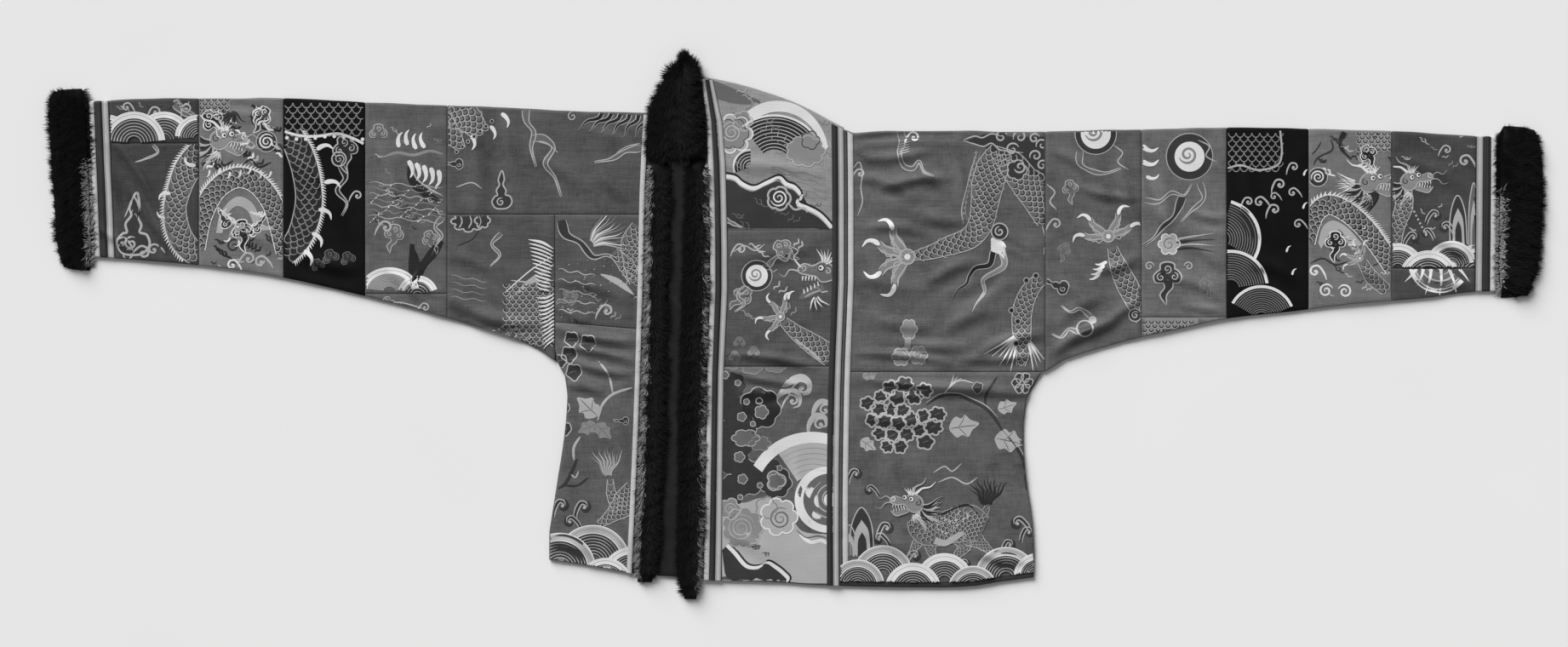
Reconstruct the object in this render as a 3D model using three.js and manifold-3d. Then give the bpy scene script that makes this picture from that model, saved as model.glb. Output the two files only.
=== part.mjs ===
// A short front-opening court jacket pieced from dragon-robe silks, laid flat with its front up.
// Units are millimetres. +X runs along the sleeves, +Y towards the neck, +Z up from the surface.
// "left" and "right" are the sides as seen from above, with the hem towards -Y.
// The origin is the centre of the outline, on the surface that the jacket lies on.
//
// The cloth is one wall thick. The back lies on the surface and the front lies on the back. Each
// sleeve piece and each yoke is one cloth folded over the top edge, with its two lower edges one
// above the other at the underarm seam.

import * as THREE from 'three';
import { mergeVertices } from 'three/addons/utils/BufferGeometryUtils.js';
import Module from 'manifold-3d';

// ---------------------------------------------------------------- driving dimensions

const WALL = 2;                 // silk, interlining and lining together
const RIBBON_WALL = 1;          // woven ribbons and braids
const SEAM_GAP = 0.3;           // between neighbouring pieces
const LAYER_GAP = 0.6;          // between the back and the front
const FUR_GAP = 0.7;            // between the fur's solid and the cloth beside it

const BACK_MID = WALL / 2;                        // height of the middle of the back's wall
const FRONT_MID = WALL + LAYER_GAP + WALL / 2;    // height of the middle of the front's wall
const RIBBON_RISE = WALL / 2 + SEAM_GAP + RIBBON_WALL / 2;

const CENTRE_BACK = 0;          // the back's middle seam
const WAIST = -56;              // seam between the yokes and the lower pieces
const LEFT_YOKE_SEAM = 143.6;   // seam across the left yoke
const LEFT_YOKE_SPLIT = -304;   // upright seam under it, in line with the body's side
const INSET_SEAM_1 = 124;       // seams across the inset panel
const INSET_SEAM_2 = -49;
const HEM_BINDING = 5.5;        // depth of the plain binding on the right hem
const COLLAR_FOOT = 216;        // where the collar's fur meets the two front strips
const BACK_NECK_INSET = 2;      // the back's neck edge stays this far inside the front's

const LEFT_BRAID_WIDTH = 7.6;   // braid on the left front edge, and the cloth's margin past it
const INNER_BAND = { dark: 7.6, striped: 8.0, cord: 3.6, braid: 7.4 };
const CUFF_BAND = { braid: 7.0, dark: 9.0, striped: 8.9 };

const FRONT_FUR_HEIGHT = 11;    // of the strips above the back cloth
const COLLAR_FUR_HEIGHT = 15;
const CUFF_FUR_UPPER = 10;      // fur above and below the slit of a cuff
const CUFF_FUR_LOWER = 4;

// ---------------------------------------------------------------- outline tables

// Top edge of the sleeves and shoulders, where the cloth is folded over.
const TOP_EDGE = [
  { x: -900, y: 287 }, { x: -775, y: 291.5 }, { x: -665, y: 291.5 }, { x: -537, y: 286 },
  { x: -408, y: 281 }, { x: -256, y: 274.5 }, { x: -185, y: 273 },
];
const TOP_EDGE_RIGHT = [
  { x: 45, y: 263 }, { x: 77, y: 246.5 }, { x: 111, y: 250 }, { x: 197, y: 250.5 },
  { x: 284, y: 248.5 }, { x: 413, y: 251.5 }, { x: 564, y: 254 }, { x: 737, y: 250.5 },
  { x: 867, y: 243.5 }, { x: 900, y: 243 },
];

// Sloping top edge of the inset panel, from the collar down to the right shoulder.
const NECK_SLOPE = [
  { x: -122, y: 319 }, { x: -104, y: 316.5 }, { x: -62, y: 307 }, { x: -36, y: 299 },
  { x: 3, y: 285 }, { x: 29, y: 272 }, { x: 46, y: 262.5 }, { x: 77, y: 246.5 },
];

// Underarm edge of each sleeve, from the cuff to the armpit.
const UNDER_LEFT = [
  { x: -900, y: 91 }, { x: -840, y: 86.5 }, { x: -753, y: 79 }, { x: -667, y: 67 },
  { x: -580, y: 48.5 }, { x: -494, y: 27 }, { x: -408, y: 3 }, { x: -343, y: -18.5 },
  { x: -308, y: -38 }, { x: -293, y: -54 }, { x: -290, y: -58 },
];
const UNDER_RIGHT = [
  { x: 316, y: -58 }, { x: 320, y: -54 }, { x: 348, y: -38 }, { x: 391, y: -25 },
  { x: 435, y: -13 }, { x: 500, y: 1 }, { x: 543, y: 11 }, { x: 629, y: 20.5 },
  { x: 715, y: 31 }, { x: 802, y: 38 }, { x: 867, y: 46 }, { x: 900, y: 46.5 },
];

// Sides of the body below the sleeves.
const LEFT_SIDE = [
  { y: 12, x: -303.8 }, { y: -40, x: -303.8 }, { y: -54, x: -293 }, { y: -70, x: -288 },
  { y: -103, x: -289 }, { y: -135, x: -292 }, { y: -200, x: -302 }, { y: -232, x: -307 },
  { y: -265, x: -311.5 }, { y: -296, x: -311.5 },
];
const RIGHT_SIDE = [
  { y: -52, x: 318 }, { y: -70, x: 302 }, { y: -103, x: 292 }, { y: -135, x: 290 },
  { y: -184, x: 293 }, { y: -248, x: 302 }, { y: -297, x: 304 }, { y: -320, x: 303 },
];

const HEM = [
  { x: -312, y: -294 }, { x: -278, y: -299 }, { x: -235, y: -306.5 }, { x: -192, y: -314 },
  { x: -148, y: -315.5 }, { x: -105, y: -320.5 }, { x: -40, y: -322 }, { x: 24, y: -326 },
  { x: 89, y: -328.5 }, { x: 175, y: -329.5 }, { x: 219, y: -328.5 }, { x: 262, y: -322 },
  { x: 304, y: -316.5 },
];

// Left waist seam, a little higher than the waist on the right.
const LEFT_WAIST = [{ x: -306, y: 7.5 }, { x: -250, y: 2.5 }, { x: -190, y: -2 }];

// Upright lines of the front opening: the braid on the left edge, the satin between the two fur
// strips, and the ribbons beside the right strip. They lean to the left towards the hem.
const FRONT_LINES = [
  { y: 320, leftBraid: -188, satinLeft: -157, satinRight: -135, bandLeft: -119, bandRight: -105 },
  { y: 286, leftBraid: -191, satinLeft: -157, satinRight: -135, bandLeft: -113.5, bandRight: -96 },
  { y: 232, leftBraid: -194.5, satinLeft: -157, satinRight: -135, bandLeft: -111, bandRight: -88 },
  { y: 162, leftBraid: -197.5, satinLeft: -158.5, satinRight: -137, bandLeft: -108.5, bandRight: -86 },
  { y: 62, leftBraid: -199.5, satinLeft: -161, satinRight: -140.5, bandLeft: -107.5, bandRight: -84.5 },
  { y: -59, leftBraid: -203, satinLeft: -163, satinRight: -144, bandLeft: -111, bandRight: -89.5 },
  { y: -167, leftBraid: -207, satinLeft: -166, satinRight: -145.5, bandLeft: -112.5, bandRight: -91 },
  { y: -308, leftBraid: -213.5, satinLeft: -173, satinRight: -147.5, bandLeft: -115.5, bandRight: -92.5 },
  { y: -345, leftBraid: -215, satinLeft: -175, satinRight: -148, bandLeft: -116.5, bandRight: -93.5 },
];

// Left edge of the second row of ribbons, which covers the inset panel's right seam.
const INNER_BAND_LINE = [
  { y: 265, x: 46.5 }, { y: 162, x: 47.5 }, { y: 62, x: 47.5 }, { y: -16, x: 44.5 },
  { y: -103, x: 42 }, { y: -232, x: 40.5 }, { y: -345, x: 41 },
];

// Outline of the collar's fur above the front strips.
const COLLAR_ARCH = [
  { y: 216, left: -188.5, right: -113 }, { y: 250, left: -187.5, right: -115 },
  { y: 273, left: -185.5, right: -116 }, { y: 290, left: -179, right: -118 },
  { y: 306, left: -171, right: -120.5 }, { y: 320, left: -162.5, right: -122 },
  { y: 331, left: -155, right: -124 }, { y: 339, left: -148, right: -128 },
  { y: 344.5, left: -141, right: -134 },
];

// Fur cuffs: their top and bottom edges, the upright seam that the fur is sewn to, and how far the
// fur reaches outwards from it at the top, at the bottom and, as a bulge, halfway down.
const CUFF_FUR = {
  left: { top: 303.5, bottom: 72.5, side: -1, seam: -896, reachTop: 52, reachBottom: 46, bulge: 0 },
  right: { top: 256, bottom: 38, side: 1, seam: 890.8, reachTop: 53.5, reachBottom: 46, bulge: 8.9 },
};
const CUFF_LEAN = { left: -0.04, right: 0.008 };   // how far the cuff's lines lean, per millimetre
const CUFF_LEAN_FROM = { left: 290, right: 240 };

// Largest folds of the front, as soft ridges from one end to the other.
const FOLDS = [
  { x0: -850, y0: 238, x1: -775, y1: 150, width: 16, height: 1.8 },
  { x0: -826, y0: 150, x1: -760, y1: 112, width: 14, height: 1.5 },
  { x0: -640, y0: 215, x1: -560, y1: 110, width: 20, height: 1.6 },
  { x0: -505, y0: 195, x1: -455, y1: 60, width: 18, height: 1.4 },
  { x0: -432, y0: 30, x1: -315, y1: 6, width: 14, height: 1.8 },
  { x0: -400, y0: 250, x1: -380, y1: 70, width: 22, height: 1.6 },
  { x0: -288, y0: -12, x1: -215, y1: -34, width: 12, height: 2.4 },
  { x0: -282, y0: -48, x1: -216, y1: -64, width: 12, height: 2.2 },
  { x0: -75, y0: -38, x1: 30, y1: -58, width: 13, height: 2.2 },
  { x0: -78, y0: -70, x1: 30, y1: -66, width: 12, height: 1.8 },
  { x0: 95, y0: -72, x1: 270, y1: -66, width: 14, height: 1.8 },
  { x0: 85, y0: 40, x1: 215, y1: -22, width: 18, height: 1.9 },
  { x0: 250, y0: 200, x1: 285, y1: 40, width: 20, height: 1.5 },
  { x0: 330, y0: -22, x1: 432, y1: 28, width: 14, height: 2.2 },
  { x0: 470, y0: 190, x1: 520, y1: 70, width: 18, height: 1.5 },
  { x0: 690, y0: 190, x1: 735, y1: 90, width: 18, height: 1.5 },
  { x0: 780, y0: 165, x1: 850, y1: 105, width: 15, height: 1.6 },
];
const FOLD_EDGE_MARGIN = 22;    // the folds die out this far from an edge or a band

// ---------------------------------------------------------------- curves through the tables

// Cubic curve through table rows without overshoot: each row's slope is the harmonic mean of the
// slopes beside it, or level where they change sign.
function through(rows, from, to) {
  const sorted = [...rows].sort((a, b) => a[from] - b[from]);
  const s = sorted.map((row) => row[from]);
  const t = sorted.map((row) => row[to]);
  const steps = s.slice(1).map((value, i) => (t[i + 1] - t[i]) / (value - s[i]));
  const slopes = s.map((_, i) => {
    if (i === 0) return steps[0];
    if (i === s.length - 1) return steps[i - 1];
    const product = steps[i - 1] * steps[i];
    return product <= 0 ? 0 : (2 * product) / (steps[i - 1] + steps[i]);
  });
  return (value) => {
    let i = 0;
    while (i < s.length - 2 && value > s[i + 1]) i += 1;
    const span = s[i + 1] - s[i];
    const k = (value - s[i]) / span;
    if (k < 0) return t[0] + slopes[0] * (value - s[0]);
    if (k > 1) return t[i + 1] + slopes[i + 1] * (value - s[i + 1]);
    const rise = k * k * (3 - 2 * k);
    return t[i] * (1 - rise) + t[i + 1] * rise
      + span * (slopes[i] * k * (1 - k) ** 2 - slopes[i + 1] * k * k * (1 - k));
  };
}

const topLeft = through(TOP_EDGE, 'x', 'y');
const topRight = through(TOP_EDGE_RIGHT, 'x', 'y');
const neckSlope = through(NECK_SLOPE, 'x', 'y');
const underLeft = through(UNDER_LEFT, 'x', 'y');
const underRight = through(UNDER_RIGHT, 'x', 'y');
const leftSide = through(LEFT_SIDE, 'y', 'x');
const rightSide = through(RIGHT_SIDE, 'y', 'x');
const hem = through(HEM, 'x', 'y');
const leftWaist = through(LEFT_WAIST, 'x', 'y');
const leftBraidEdge = through(FRONT_LINES, 'y', 'leftBraid');
const satinLeft = through(FRONT_LINES, 'y', 'satinLeft');
const satinRight = through(FRONT_LINES, 'y', 'satinRight');
const bandLeft = through(FRONT_LINES, 'y', 'bandLeft');
const bandRight = through(FRONT_LINES, 'y', 'bandRight');
const innerBand = through(INNER_BAND_LINE, 'y', 'x');

const clothEdgeLeft = (y) => leftBraidEdge(y) + LEFT_BRAID_WIDTH;
const insetSeam = (y) => innerBand(y) + INNER_BAND.dark + INNER_BAND.striped + 1.5 * SEAM_GAP;
const innerBandEnd = (y) => insetSeam(y) + INNER_BAND.cord + INNER_BAND.braid + 2 * SEAM_GAP;
const at = (value) => () => value;
const moved = (line, by) => (value) => line(value) + by;
const mix = (a, b, k) => a + (b - a) * k;
const smooth = (k) => {
  const c = Math.min(1, Math.max(0, k));
  return c * c * (3 - 2 * c);
};

// ---------------------------------------------------------------- folds of the front

// Height of a fold at a point: a bell across it, and a half sine along it.
function foldHeight(fold, x, y) {
  const dx = fold.x1 - fold.x0;
  const dy = fold.y1 - fold.y0;
  const along = ((x - fold.x0) * dx + (y - fold.y0) * dy) / (dx * dx + dy * dy);
  if (along <= 0 || along >= 1) return 0;
  const across = ((x - fold.x0) * dy - (y - fold.y0) * dx) / Math.hypot(dx, dy);
  return fold.height * Math.exp(-((across / fold.width) ** 2)) * Math.sin(Math.PI * along);
}

// How far the front rises above its flat height. It is level under the bands and at the edges.
function relief(x, y) {
  const top = x < 0 ? topLeft(x) : topRight(x);
  const under = x < 0 ? underLeft(Math.min(x, -292)) : underRight(Math.max(x, 318));
  const low = x > -292 && x < 318 ? hem(x) : under;
  const fromBands = Math.min(
    Math.max(leftBraidEdge(y) - x, x - bandRight(y)),
    Math.max(innerBand(y) - x, x - innerBandEnd(y)),
  );
  const clear = Math.min(top - y, y - low, fromBands);
  const sum = FOLDS.reduce((total, fold) => total + foldHeight(fold, x, y), 0);
  return sum * smooth(clear / FOLD_EDGE_MARGIN);
}

// ---------------------------------------------------------------- solids

// Turns a list of triangles, as corner points, into a closed geometry with its faces outward.
function closedGeometry(triangles) {
  const flat = triangles.flatMap((triangle) => triangle.flatMap((p) => [p.x, p.y, p.z]));
  const loose = new THREE.BufferGeometry();
  loose.setAttribute('position', new THREE.Float32BufferAttribute(flat, 3));
  const geometry = mergeVertices(loose, 1e-5);
  if (signedVolume(geometry) < 0) {
    const index = geometry.getIndex().array;
    for (let i = 0; i < index.length; i += 3) [index[i], index[i + 1]] = [index[i + 1], index[i]];
  }
  geometry.computeVertexNormals();
  return geometry;
}

function signedVolume(geometry) {
  const position = geometry.getAttribute('position');
  const index = geometry.getIndex().array;
  const corner = [0, 1, 2].map(() => new THREE.Vector3());
  let total = 0;
  for (let i = 0; i < index.length; i += 3) {
    corner.forEach((p, k) => p.fromBufferAttribute(position, index[i + k]));
    total += corner[0].dot(corner[1].cross(corner[2])) / 6;
  }
  return total;
}

// Gives a grid of points a wall. Each point stands half a wall either side of the middle surface,
// along that surface's normal, and four strips of faces close the edges.
function wallOnGrid(grid) {
  const rows = grid.length;
  const columns = grid[0].length;
  const side = (sign) => grid.map((row, i) => row.map((point, j) => {
    const along = new THREE.Vector3()
      .subVectors(grid[Math.min(i + 1, rows - 1)][j], grid[Math.max(i - 1, 0)][j]);
    const across = new THREE.Vector3()
      .subVectors(row[Math.min(j + 1, columns - 1)], row[Math.max(j - 1, 0)]);
    const normal = across.cross(along).normalize();
    return new THREE.Vector3().copy(point).addScaledVector(normal, sign * point.half);
  }));
  const outer = side(1);
  const inner = side(-1);
  const triangles = [];
  const quad = (a, b, c, d) => triangles.push([a, b, c], [a, c, d]);
  for (let i = 0; i < rows - 1; i += 1) {
    for (let j = 0; j < columns - 1; j += 1) {
      quad(outer[i][j], outer[i][j + 1], outer[i + 1][j + 1], outer[i + 1][j]);
      quad(inner[i][j], inner[i + 1][j], inner[i + 1][j + 1], inner[i][j + 1]);
    }
    const last = columns - 1;
    quad(outer[i][0], outer[i + 1][0], inner[i + 1][0], inner[i][0]);
    quad(outer[i][last], inner[i][last], inner[i + 1][last], outer[i + 1][last]);
  }
  for (let j = 0; j < columns - 1; j += 1) {
    const last = rows - 1;
    quad(outer[0][j], inner[0][j], inner[0][j + 1], outer[0][j + 1]);
    quad(outer[last][j], outer[last][j + 1], inner[last][j + 1], inner[last][j]);
  }
  return closedGeometry(triangles);
}

function clothPoint(x, y, z, half = WALL / 2) {
  const point = new THREE.Vector3(x, y, z);
  point.half = half;
  return point;
}

// Place of a column between upright lines. Each line is a function of y, and cells[k] columns lie
// between lines k and k + 1. It returns one function of y for each column.
function columnsBetween(lines, cells) {
  const columns = [lines[0]];
  cells.forEach((count, k) => {
    for (let step = 1; step <= count; step += 1) {
      columns.push((y) => mix(lines[k](y), lines[k + 1](y), step / count));
    }
  });
  return columns;
}

// Finds where a column crosses a height that itself depends on x.
function settle(column, heightAt, start) {
  let y = start;
  for (let pass = 0; pass < 6; pass += 1) y = heightAt(column(y));
  return { x: column(y), y };
}

// One layer of cloth between upright lines and a lower and an upper edge.
function flatPiece({ lines, cells, low, high, rows, height, half = WALL / 2 }) {
  const columns = columnsBetween(lines, cells);
  const grid = [];
  for (let i = 0; i <= rows; i += 1) {
    const heightAt = (x) => mix(low(x), high(x), i / rows);
    grid.push(columns.map((column) => {
      const { x, y } = settle(column, heightAt, 0);
      return clothPoint(x, y, height(x, y), half);
    }));
  }
  return wallOnGrid(grid);
}

const frontHeight = (x, y) => FRONT_MID + relief(x, y);
const backHeight = at(BACK_MID);

// Cloth folded over the top edge. The section runs up the front, round the fold and down the back.
function foldedPiece({ lines, cells, top, frontLow, backLow, rows, foldSteps = 3, backRows = 2 }) {
  const radius = (FRONT_MID - BACK_MID) / 2;
  const middle = (FRONT_MID + BACK_MID) / 2;
  const columns = columnsBetween(lines, cells);
  const foldCentre = (x) => top(x) - radius - WALL / 2;
  const grid = [];
  const addRow = (heightAt, z) => grid.push(columns.map((column) => {
    const { x, y } = settle(column, heightAt, 150);
    return clothPoint(x, y, z(x, y));
  }));
  for (let i = 0; i <= rows; i += 1) {
    addRow((x) => mix(frontLow(x), foldCentre(x), i / rows), frontHeight);
  }
  for (let i = 1; i <= foldSteps; i += 1) {
    const angle = (Math.PI * i) / foldSteps;
    addRow((x) => foldCentre(x) + radius * Math.sin(angle), at(middle + radius * Math.cos(angle)));
  }
  for (let i = 1; i <= backRows; i += 1) {
    addRow((x) => mix(foldCentre(x), backLow(x), i / backRows), backHeight);
  }
  return wallOnGrid(grid);
}

// Ribbon that lies on the front: the front's own surface moved out, between two upright lines.
function ribbonPiece({ left, right, low, high, rows = 12 }) {
  return flatPiece({
    lines: [left, right], cells: [1], low, high, rows,
    height: (x, y) => frontHeight(x, y) + RIBBON_RISE, half: RIBBON_WALL / 2,
  });
}

// Closed body through rings of equal count, with flat ends.
function loft(rings) {
  const triangles = [];
  const count = rings[0].length;
  for (let i = 0; i < rings.length - 1; i += 1) {
    for (let j = 0; j < count; j += 1) {
      const k = (j + 1) % count;
      triangles.push([rings[i][j], rings[i][k], rings[i + 1][k]]);
      triangles.push([rings[i][j], rings[i + 1][k], rings[i + 1][j]]);
    }
  }
  const first = rings[0];
  const last = rings[rings.length - 1];
  for (let j = 1; j < count - 1; j += 1) {
    triangles.push([first[0], first[j + 1], first[j]]);
    triangles.push([last[0], last[j], last[j + 1]]);
  }
  return closedGeometry(triangles);
}

// Fur strip that lies on the back: flat below and domed above, along rows of y, left and right.
function furStrip(rows, height) {
  const base = WALL + LAYER_GAP;
  const domeSteps = 6;
  return loft(rows.map(({ y, left, right, fullness = 1 }) => {
    const ring = [];
    for (let i = 0; i <= domeSteps; i += 1) {
      const angle = (Math.PI * i) / domeSteps;
      const across = Math.sign(Math.cos(angle)) * Math.abs(Math.cos(angle)) ** 0.7;
      const up = Math.sin(angle) ** 0.6;
      const x = mix(left, right, (1 + across) / 2);
      ring.push(new THREE.Vector3(x, y, base + 1 + (height - 1) * fullness * up));
    }
    ring.push(new THREE.Vector3(left, y, base), new THREE.Vector3(right, y, base));
    return ring;
  }));
}

// Fur cuff: a thick shell folded over the top edge like the sleeve, rounded at its outer end.
function furCuff({ top, bottom, side, seam, reachTop, reachBottom, bulge, lean, leanFrom }) {
  const stations = [0, 0.3, 0.6, 0.85, 1];
  const frontRows = 5;
  const foldSteps = 5;
  const backRows = 2;
  const grid = [];
  const profile = stations.map((station) => {
    const round = Math.sqrt(1 - (0.75 * station) ** 4);
    return { station, upper: CUFF_FUR_UPPER * round, lower: CUFF_FUR_LOWER, shrink: 9 * station ** 4 };
  });
  const place = (section, kind, k) => {
    const backMid = section.lower / 2;
    const frontMid = section.lower + LAYER_GAP + section.upper / 2;
    const radius = (frontMid - backMid) / 2;
    const wideHalf = section.upper / 2;
    const centre = top - section.shrink - radius - (section.upper + section.lower) / 4;
    const foot = bottom + section.shrink;
    let y = mix(foot, centre, k);
    let z = frontMid;
    let half = wideHalf;
    if (kind === 'fold') {
      y = centre + radius * Math.sin(Math.PI * k);
      z = (frontMid + backMid) / 2 + radius * Math.cos(Math.PI * k);
      half = mix(wideHalf, backMid, smooth(k));
    }
    if (kind === 'back') {
      y = mix(centre, foot, k);
      z = backMid;
      half = backMid;
    }
    const up = (y - bottom) / (top - bottom);
    const reach = mix(reachBottom, reachTop, up) + bulge * 4 * up * (1 - up);
    const start = seam + (y - leanFrom) * lean + side * FUR_GAP;
    return clothPoint(start + side * reach * section.station, y, z, half);
  };
  const addRow = (kind, k) => grid.push(profile.map((section) => place(section, kind, k)));
  for (let i = 0; i <= frontRows; i += 1) addRow('front', i / frontRows);
  for (let i = 1; i <= foldSteps; i += 1) addRow('fold', i / foldSteps);
  for (let i = 1; i <= backRows; i += 1) addRow('back', i / backRows);
  if (side < 0) grid.forEach((row) => row.reverse());
  return wallOnGrid(grid);
}

// ---------------------------------------------------------------- joining two closed meshes

const wasm = await Module();
wasm.setup();

function asManifold(geometry) {
  const bare = new THREE.BufferGeometry();
  bare.setAttribute('position', geometry.getAttribute('position'));
  bare.setIndex(geometry.getIndex());
  return new wasm.Manifold(new wasm.Mesh({
    numProp: 3,
    vertProperties: new Float32Array(bare.getAttribute('position').array),
    triVerts: new Uint32Array(bare.getIndex().array),
  }));
}

function joined(first, second) {
  const mesh = asManifold(first).add(asManifold(second)).getMesh();
  const geometry = new THREE.BufferGeometry();
  geometry.setAttribute('position', new THREE.Float32BufferAttribute(mesh.vertProperties, 3));
  geometry.setIndex(new THREE.Uint32BufferAttribute(mesh.triVerts, 1));
  geometry.computeVertexNormals();
  return geometry;
}

// ---------------------------------------------------------------- the jacket

const jacket = new THREE.Group();

const SILK = { roughness: 0.55, metalness: 0 };
const RIBBON = { roughness: 0.6, metalness: 0 };
const FUR = { roughness: 0.9, metalness: 0 };

function add(name, geometry, color, finish) {
  const mesh = new THREE.Mesh(geometry, new THREE.MeshStandardMaterial({ color, ...finish }));
  mesh.name = name;
  jacket.add(mesh);
}

const HALF_SEAM = SEAM_GAP / 2;
const before = (line) => moved(line, -HALF_SEAM);
const after = (line) => moved(line, HALF_SEAM);

// Sleeves. Each piece lies between two upright seams. lowSeam is the height of a seam across the
// front below which a second piece is let in. The back of a piece is never pieced again.
const leftCuffLine = (offset) => (y) => CUFF_FUR.left.seam + (y - CUFF_LEAN_FROM.left) * CUFF_LEAN.left + offset;
const rightCuffLine = (offset) => (y) => CUFF_FUR.right.seam + (y - CUFF_LEAN_FROM.right) * CUFF_LEAN.right - offset;
const CUFF_WIDTH = CUFF_BAND.braid + CUFF_BAND.dark + CUFF_BAND.striped + 3 * SEAM_GAP;

const LEFT_SLEEVE = [
  { name: 'left_sleeve_1', from: leftCuffLine(CUFF_WIDTH), to: at(-756), lowSeam: 234, low: 'scroll', color: 0x5c5c5c },
  { name: 'left_sleeve_2', from: at(-756), to: at(-648.5), color: 0x868686 },
  { name: 'left_sleeve_3', from: at(-648.5), to: at(-545), color: 0x181818 },
  { name: 'left_sleeve_4', from: at(-545), to: at(-441), lowSeam: 43, low: 'gusset', color: 0x6e6e6e },
];
const RIGHT_SLEEVE = [
  { name: 'right_sleeve_1', from: at(318), to: at(440), color: 0x626262 },
  { name: 'right_sleeve_2', from: at(440), to: at(548), lowSeam: 13.5, low: 'gusset', color: 0x7a7a7a },
  { name: 'right_sleeve_3', from: at(548), to: at(652), color: 0x181818 },
  { name: 'right_sleeve_4', from: at(652), to: at(757.5), color: 0x868686 },
  { name: 'right_sleeve_5', from: at(757.5), to: rightCuffLine(CUFF_WIDTH), lowSeam: 75.5, low: 'wave', color: 0x5c5c5c },
];

function addSleeve(pieces, top, under) {
  for (const piece of pieces) {
    const lines = [after(piece.from), before(piece.to)];
    const frontLow = piece.lowSeam === undefined ? under : at(piece.lowSeam + HALF_SEAM);
    add(piece.name, foldedPiece({
      lines, cells: [5], top, frontLow, backLow: under, rows: 8,
    }), piece.color, SILK);
    if (piece.lowSeam !== undefined) {
      add(`${piece.name}_${piece.low}`, flatPiece({
        lines, cells: [5], low: under, high: at(piece.lowSeam - HALF_SEAM),
        rows: piece.low === 'scroll' ? 7 : 2, height: frontHeight,
      }), piece.color, SILK);
    }
  }
}
addSleeve(LEFT_SLEEVE, topLeft, underLeft);
addSleeve(RIGHT_SLEEVE, topRight, underRight);

// Cuffs: three bands sewn edge to edge round the sleeve's end, then the fur.
function addCuff(side, line, top, under) {
  let offset = 0;
  for (const [band, color] of [['braid', 0xb4b4b4], ['dark', 0x262626], ['striped', 0x909090]]) {
    const width = CUFF_BAND[band];
    const edges = [line(offset), line(offset + width)];
    const lines = side === 'left' ? edges : edges.reverse();
    add(`${side}_cuff_${band}_ribbon`, foldedPiece({
      lines, cells: [1], top, frontLow: under, backLow: under, rows: 4, backRows: 1,
    }), color, RIBBON);
    offset += width + SEAM_GAP;
  }
  add(`${side}_cuff_fur`, furCuff({
    ...CUFF_FUR[side], lean: CUFF_LEAN[side], leanFrom: CUFF_LEAN_FROM[side],
  }), 0x141414, FUR);
}
addCuff('left', leftCuffLine, topLeft, underLeft);
addCuff('right', rightCuffLine, topRight, underRight);

// Left yoke: the upper piece is folded over the shoulder, and its back reaches the middle seam.
const YOKE_BACK_JOIN = 3;       // overlap of the folded cloth and the rest of the same cloth's back
const backNeck = (x) => (x < -119 ? mix(270, 314, smooth((x + 186) / 67)) : neckSlope(x) - BACK_NECK_INSET);
const waistOrUnderLeft = (x) => Math.max(x < -291 ? underLeft(x) : -1e3, WAIST) + HALF_SEAM;
const waistOrUnderRight = (x) => Math.max(x > 317 ? underRight(x) : -1e3, WAIST) + HALF_SEAM;

add('left_yoke', joined(
  foldedPiece({
    lines: [at(-441 + HALF_SEAM), at(-304), leftBraidEdge, clothEdgeLeft], cells: [6, 5, 1],
    top: topLeft, frontLow: at(LEFT_YOKE_SEAM + HALF_SEAM), backLow: waistOrUnderLeft, rows: 7,
    backRows: 3,
  }),
  flatPiece({
    lines: [(y) => clothEdgeLeft(y) - YOKE_BACK_JOIN, at(CENTRE_BACK - HALF_SEAM)], cells: [6],
    low: at(WAIST + HALF_SEAM), high: backNeck, rows: 2, height: backHeight,
  }),
), 0x6a6a6a, SILK);
add('left_yoke_side', flatPiece({
  lines: [at(-441 + HALF_SEAM), at(LEFT_YOKE_SPLIT - HALF_SEAM)], cells: [7],
  low: underLeft, high: at(LEFT_YOKE_SEAM - HALF_SEAM), rows: 8, height: frontHeight,
}), 0x646464, SILK);
add('left_yoke_front', flatPiece({
  lines: [at(LEFT_YOKE_SPLIT + HALF_SEAM), leftBraidEdge, clothEdgeLeft], cells: [5, 1],
  low: after(leftWaist), high: at(LEFT_YOKE_SEAM - HALF_SEAM), rows: 7, height: frontHeight,
}), 0x5e5e5e, SILK);

// Right yoke, the same way. Its left edge lies under the inner ribbons.
add('right_yoke', joined(
  foldedPiece({
    lines: [moved(insetSeam, 2 * SEAM_GAP), innerBandEnd, at(318 - HALF_SEAM)], cells: [1, 10],
    top: topRight, frontLow: at(WAIST + HALF_SEAM), backLow: waistOrUnderRight, rows: 13,
    backRows: 3,
  }),
  flatPiece({
    lines: [at(CENTRE_BACK + HALF_SEAM), (y) => insetSeam(y) + YOKE_BACK_JOIN], cells: [4],
    low: at(WAIST + HALF_SEAM), high: backNeck, rows: 2, height: backHeight,
  }),
), 0x686868, SILK);

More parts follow.
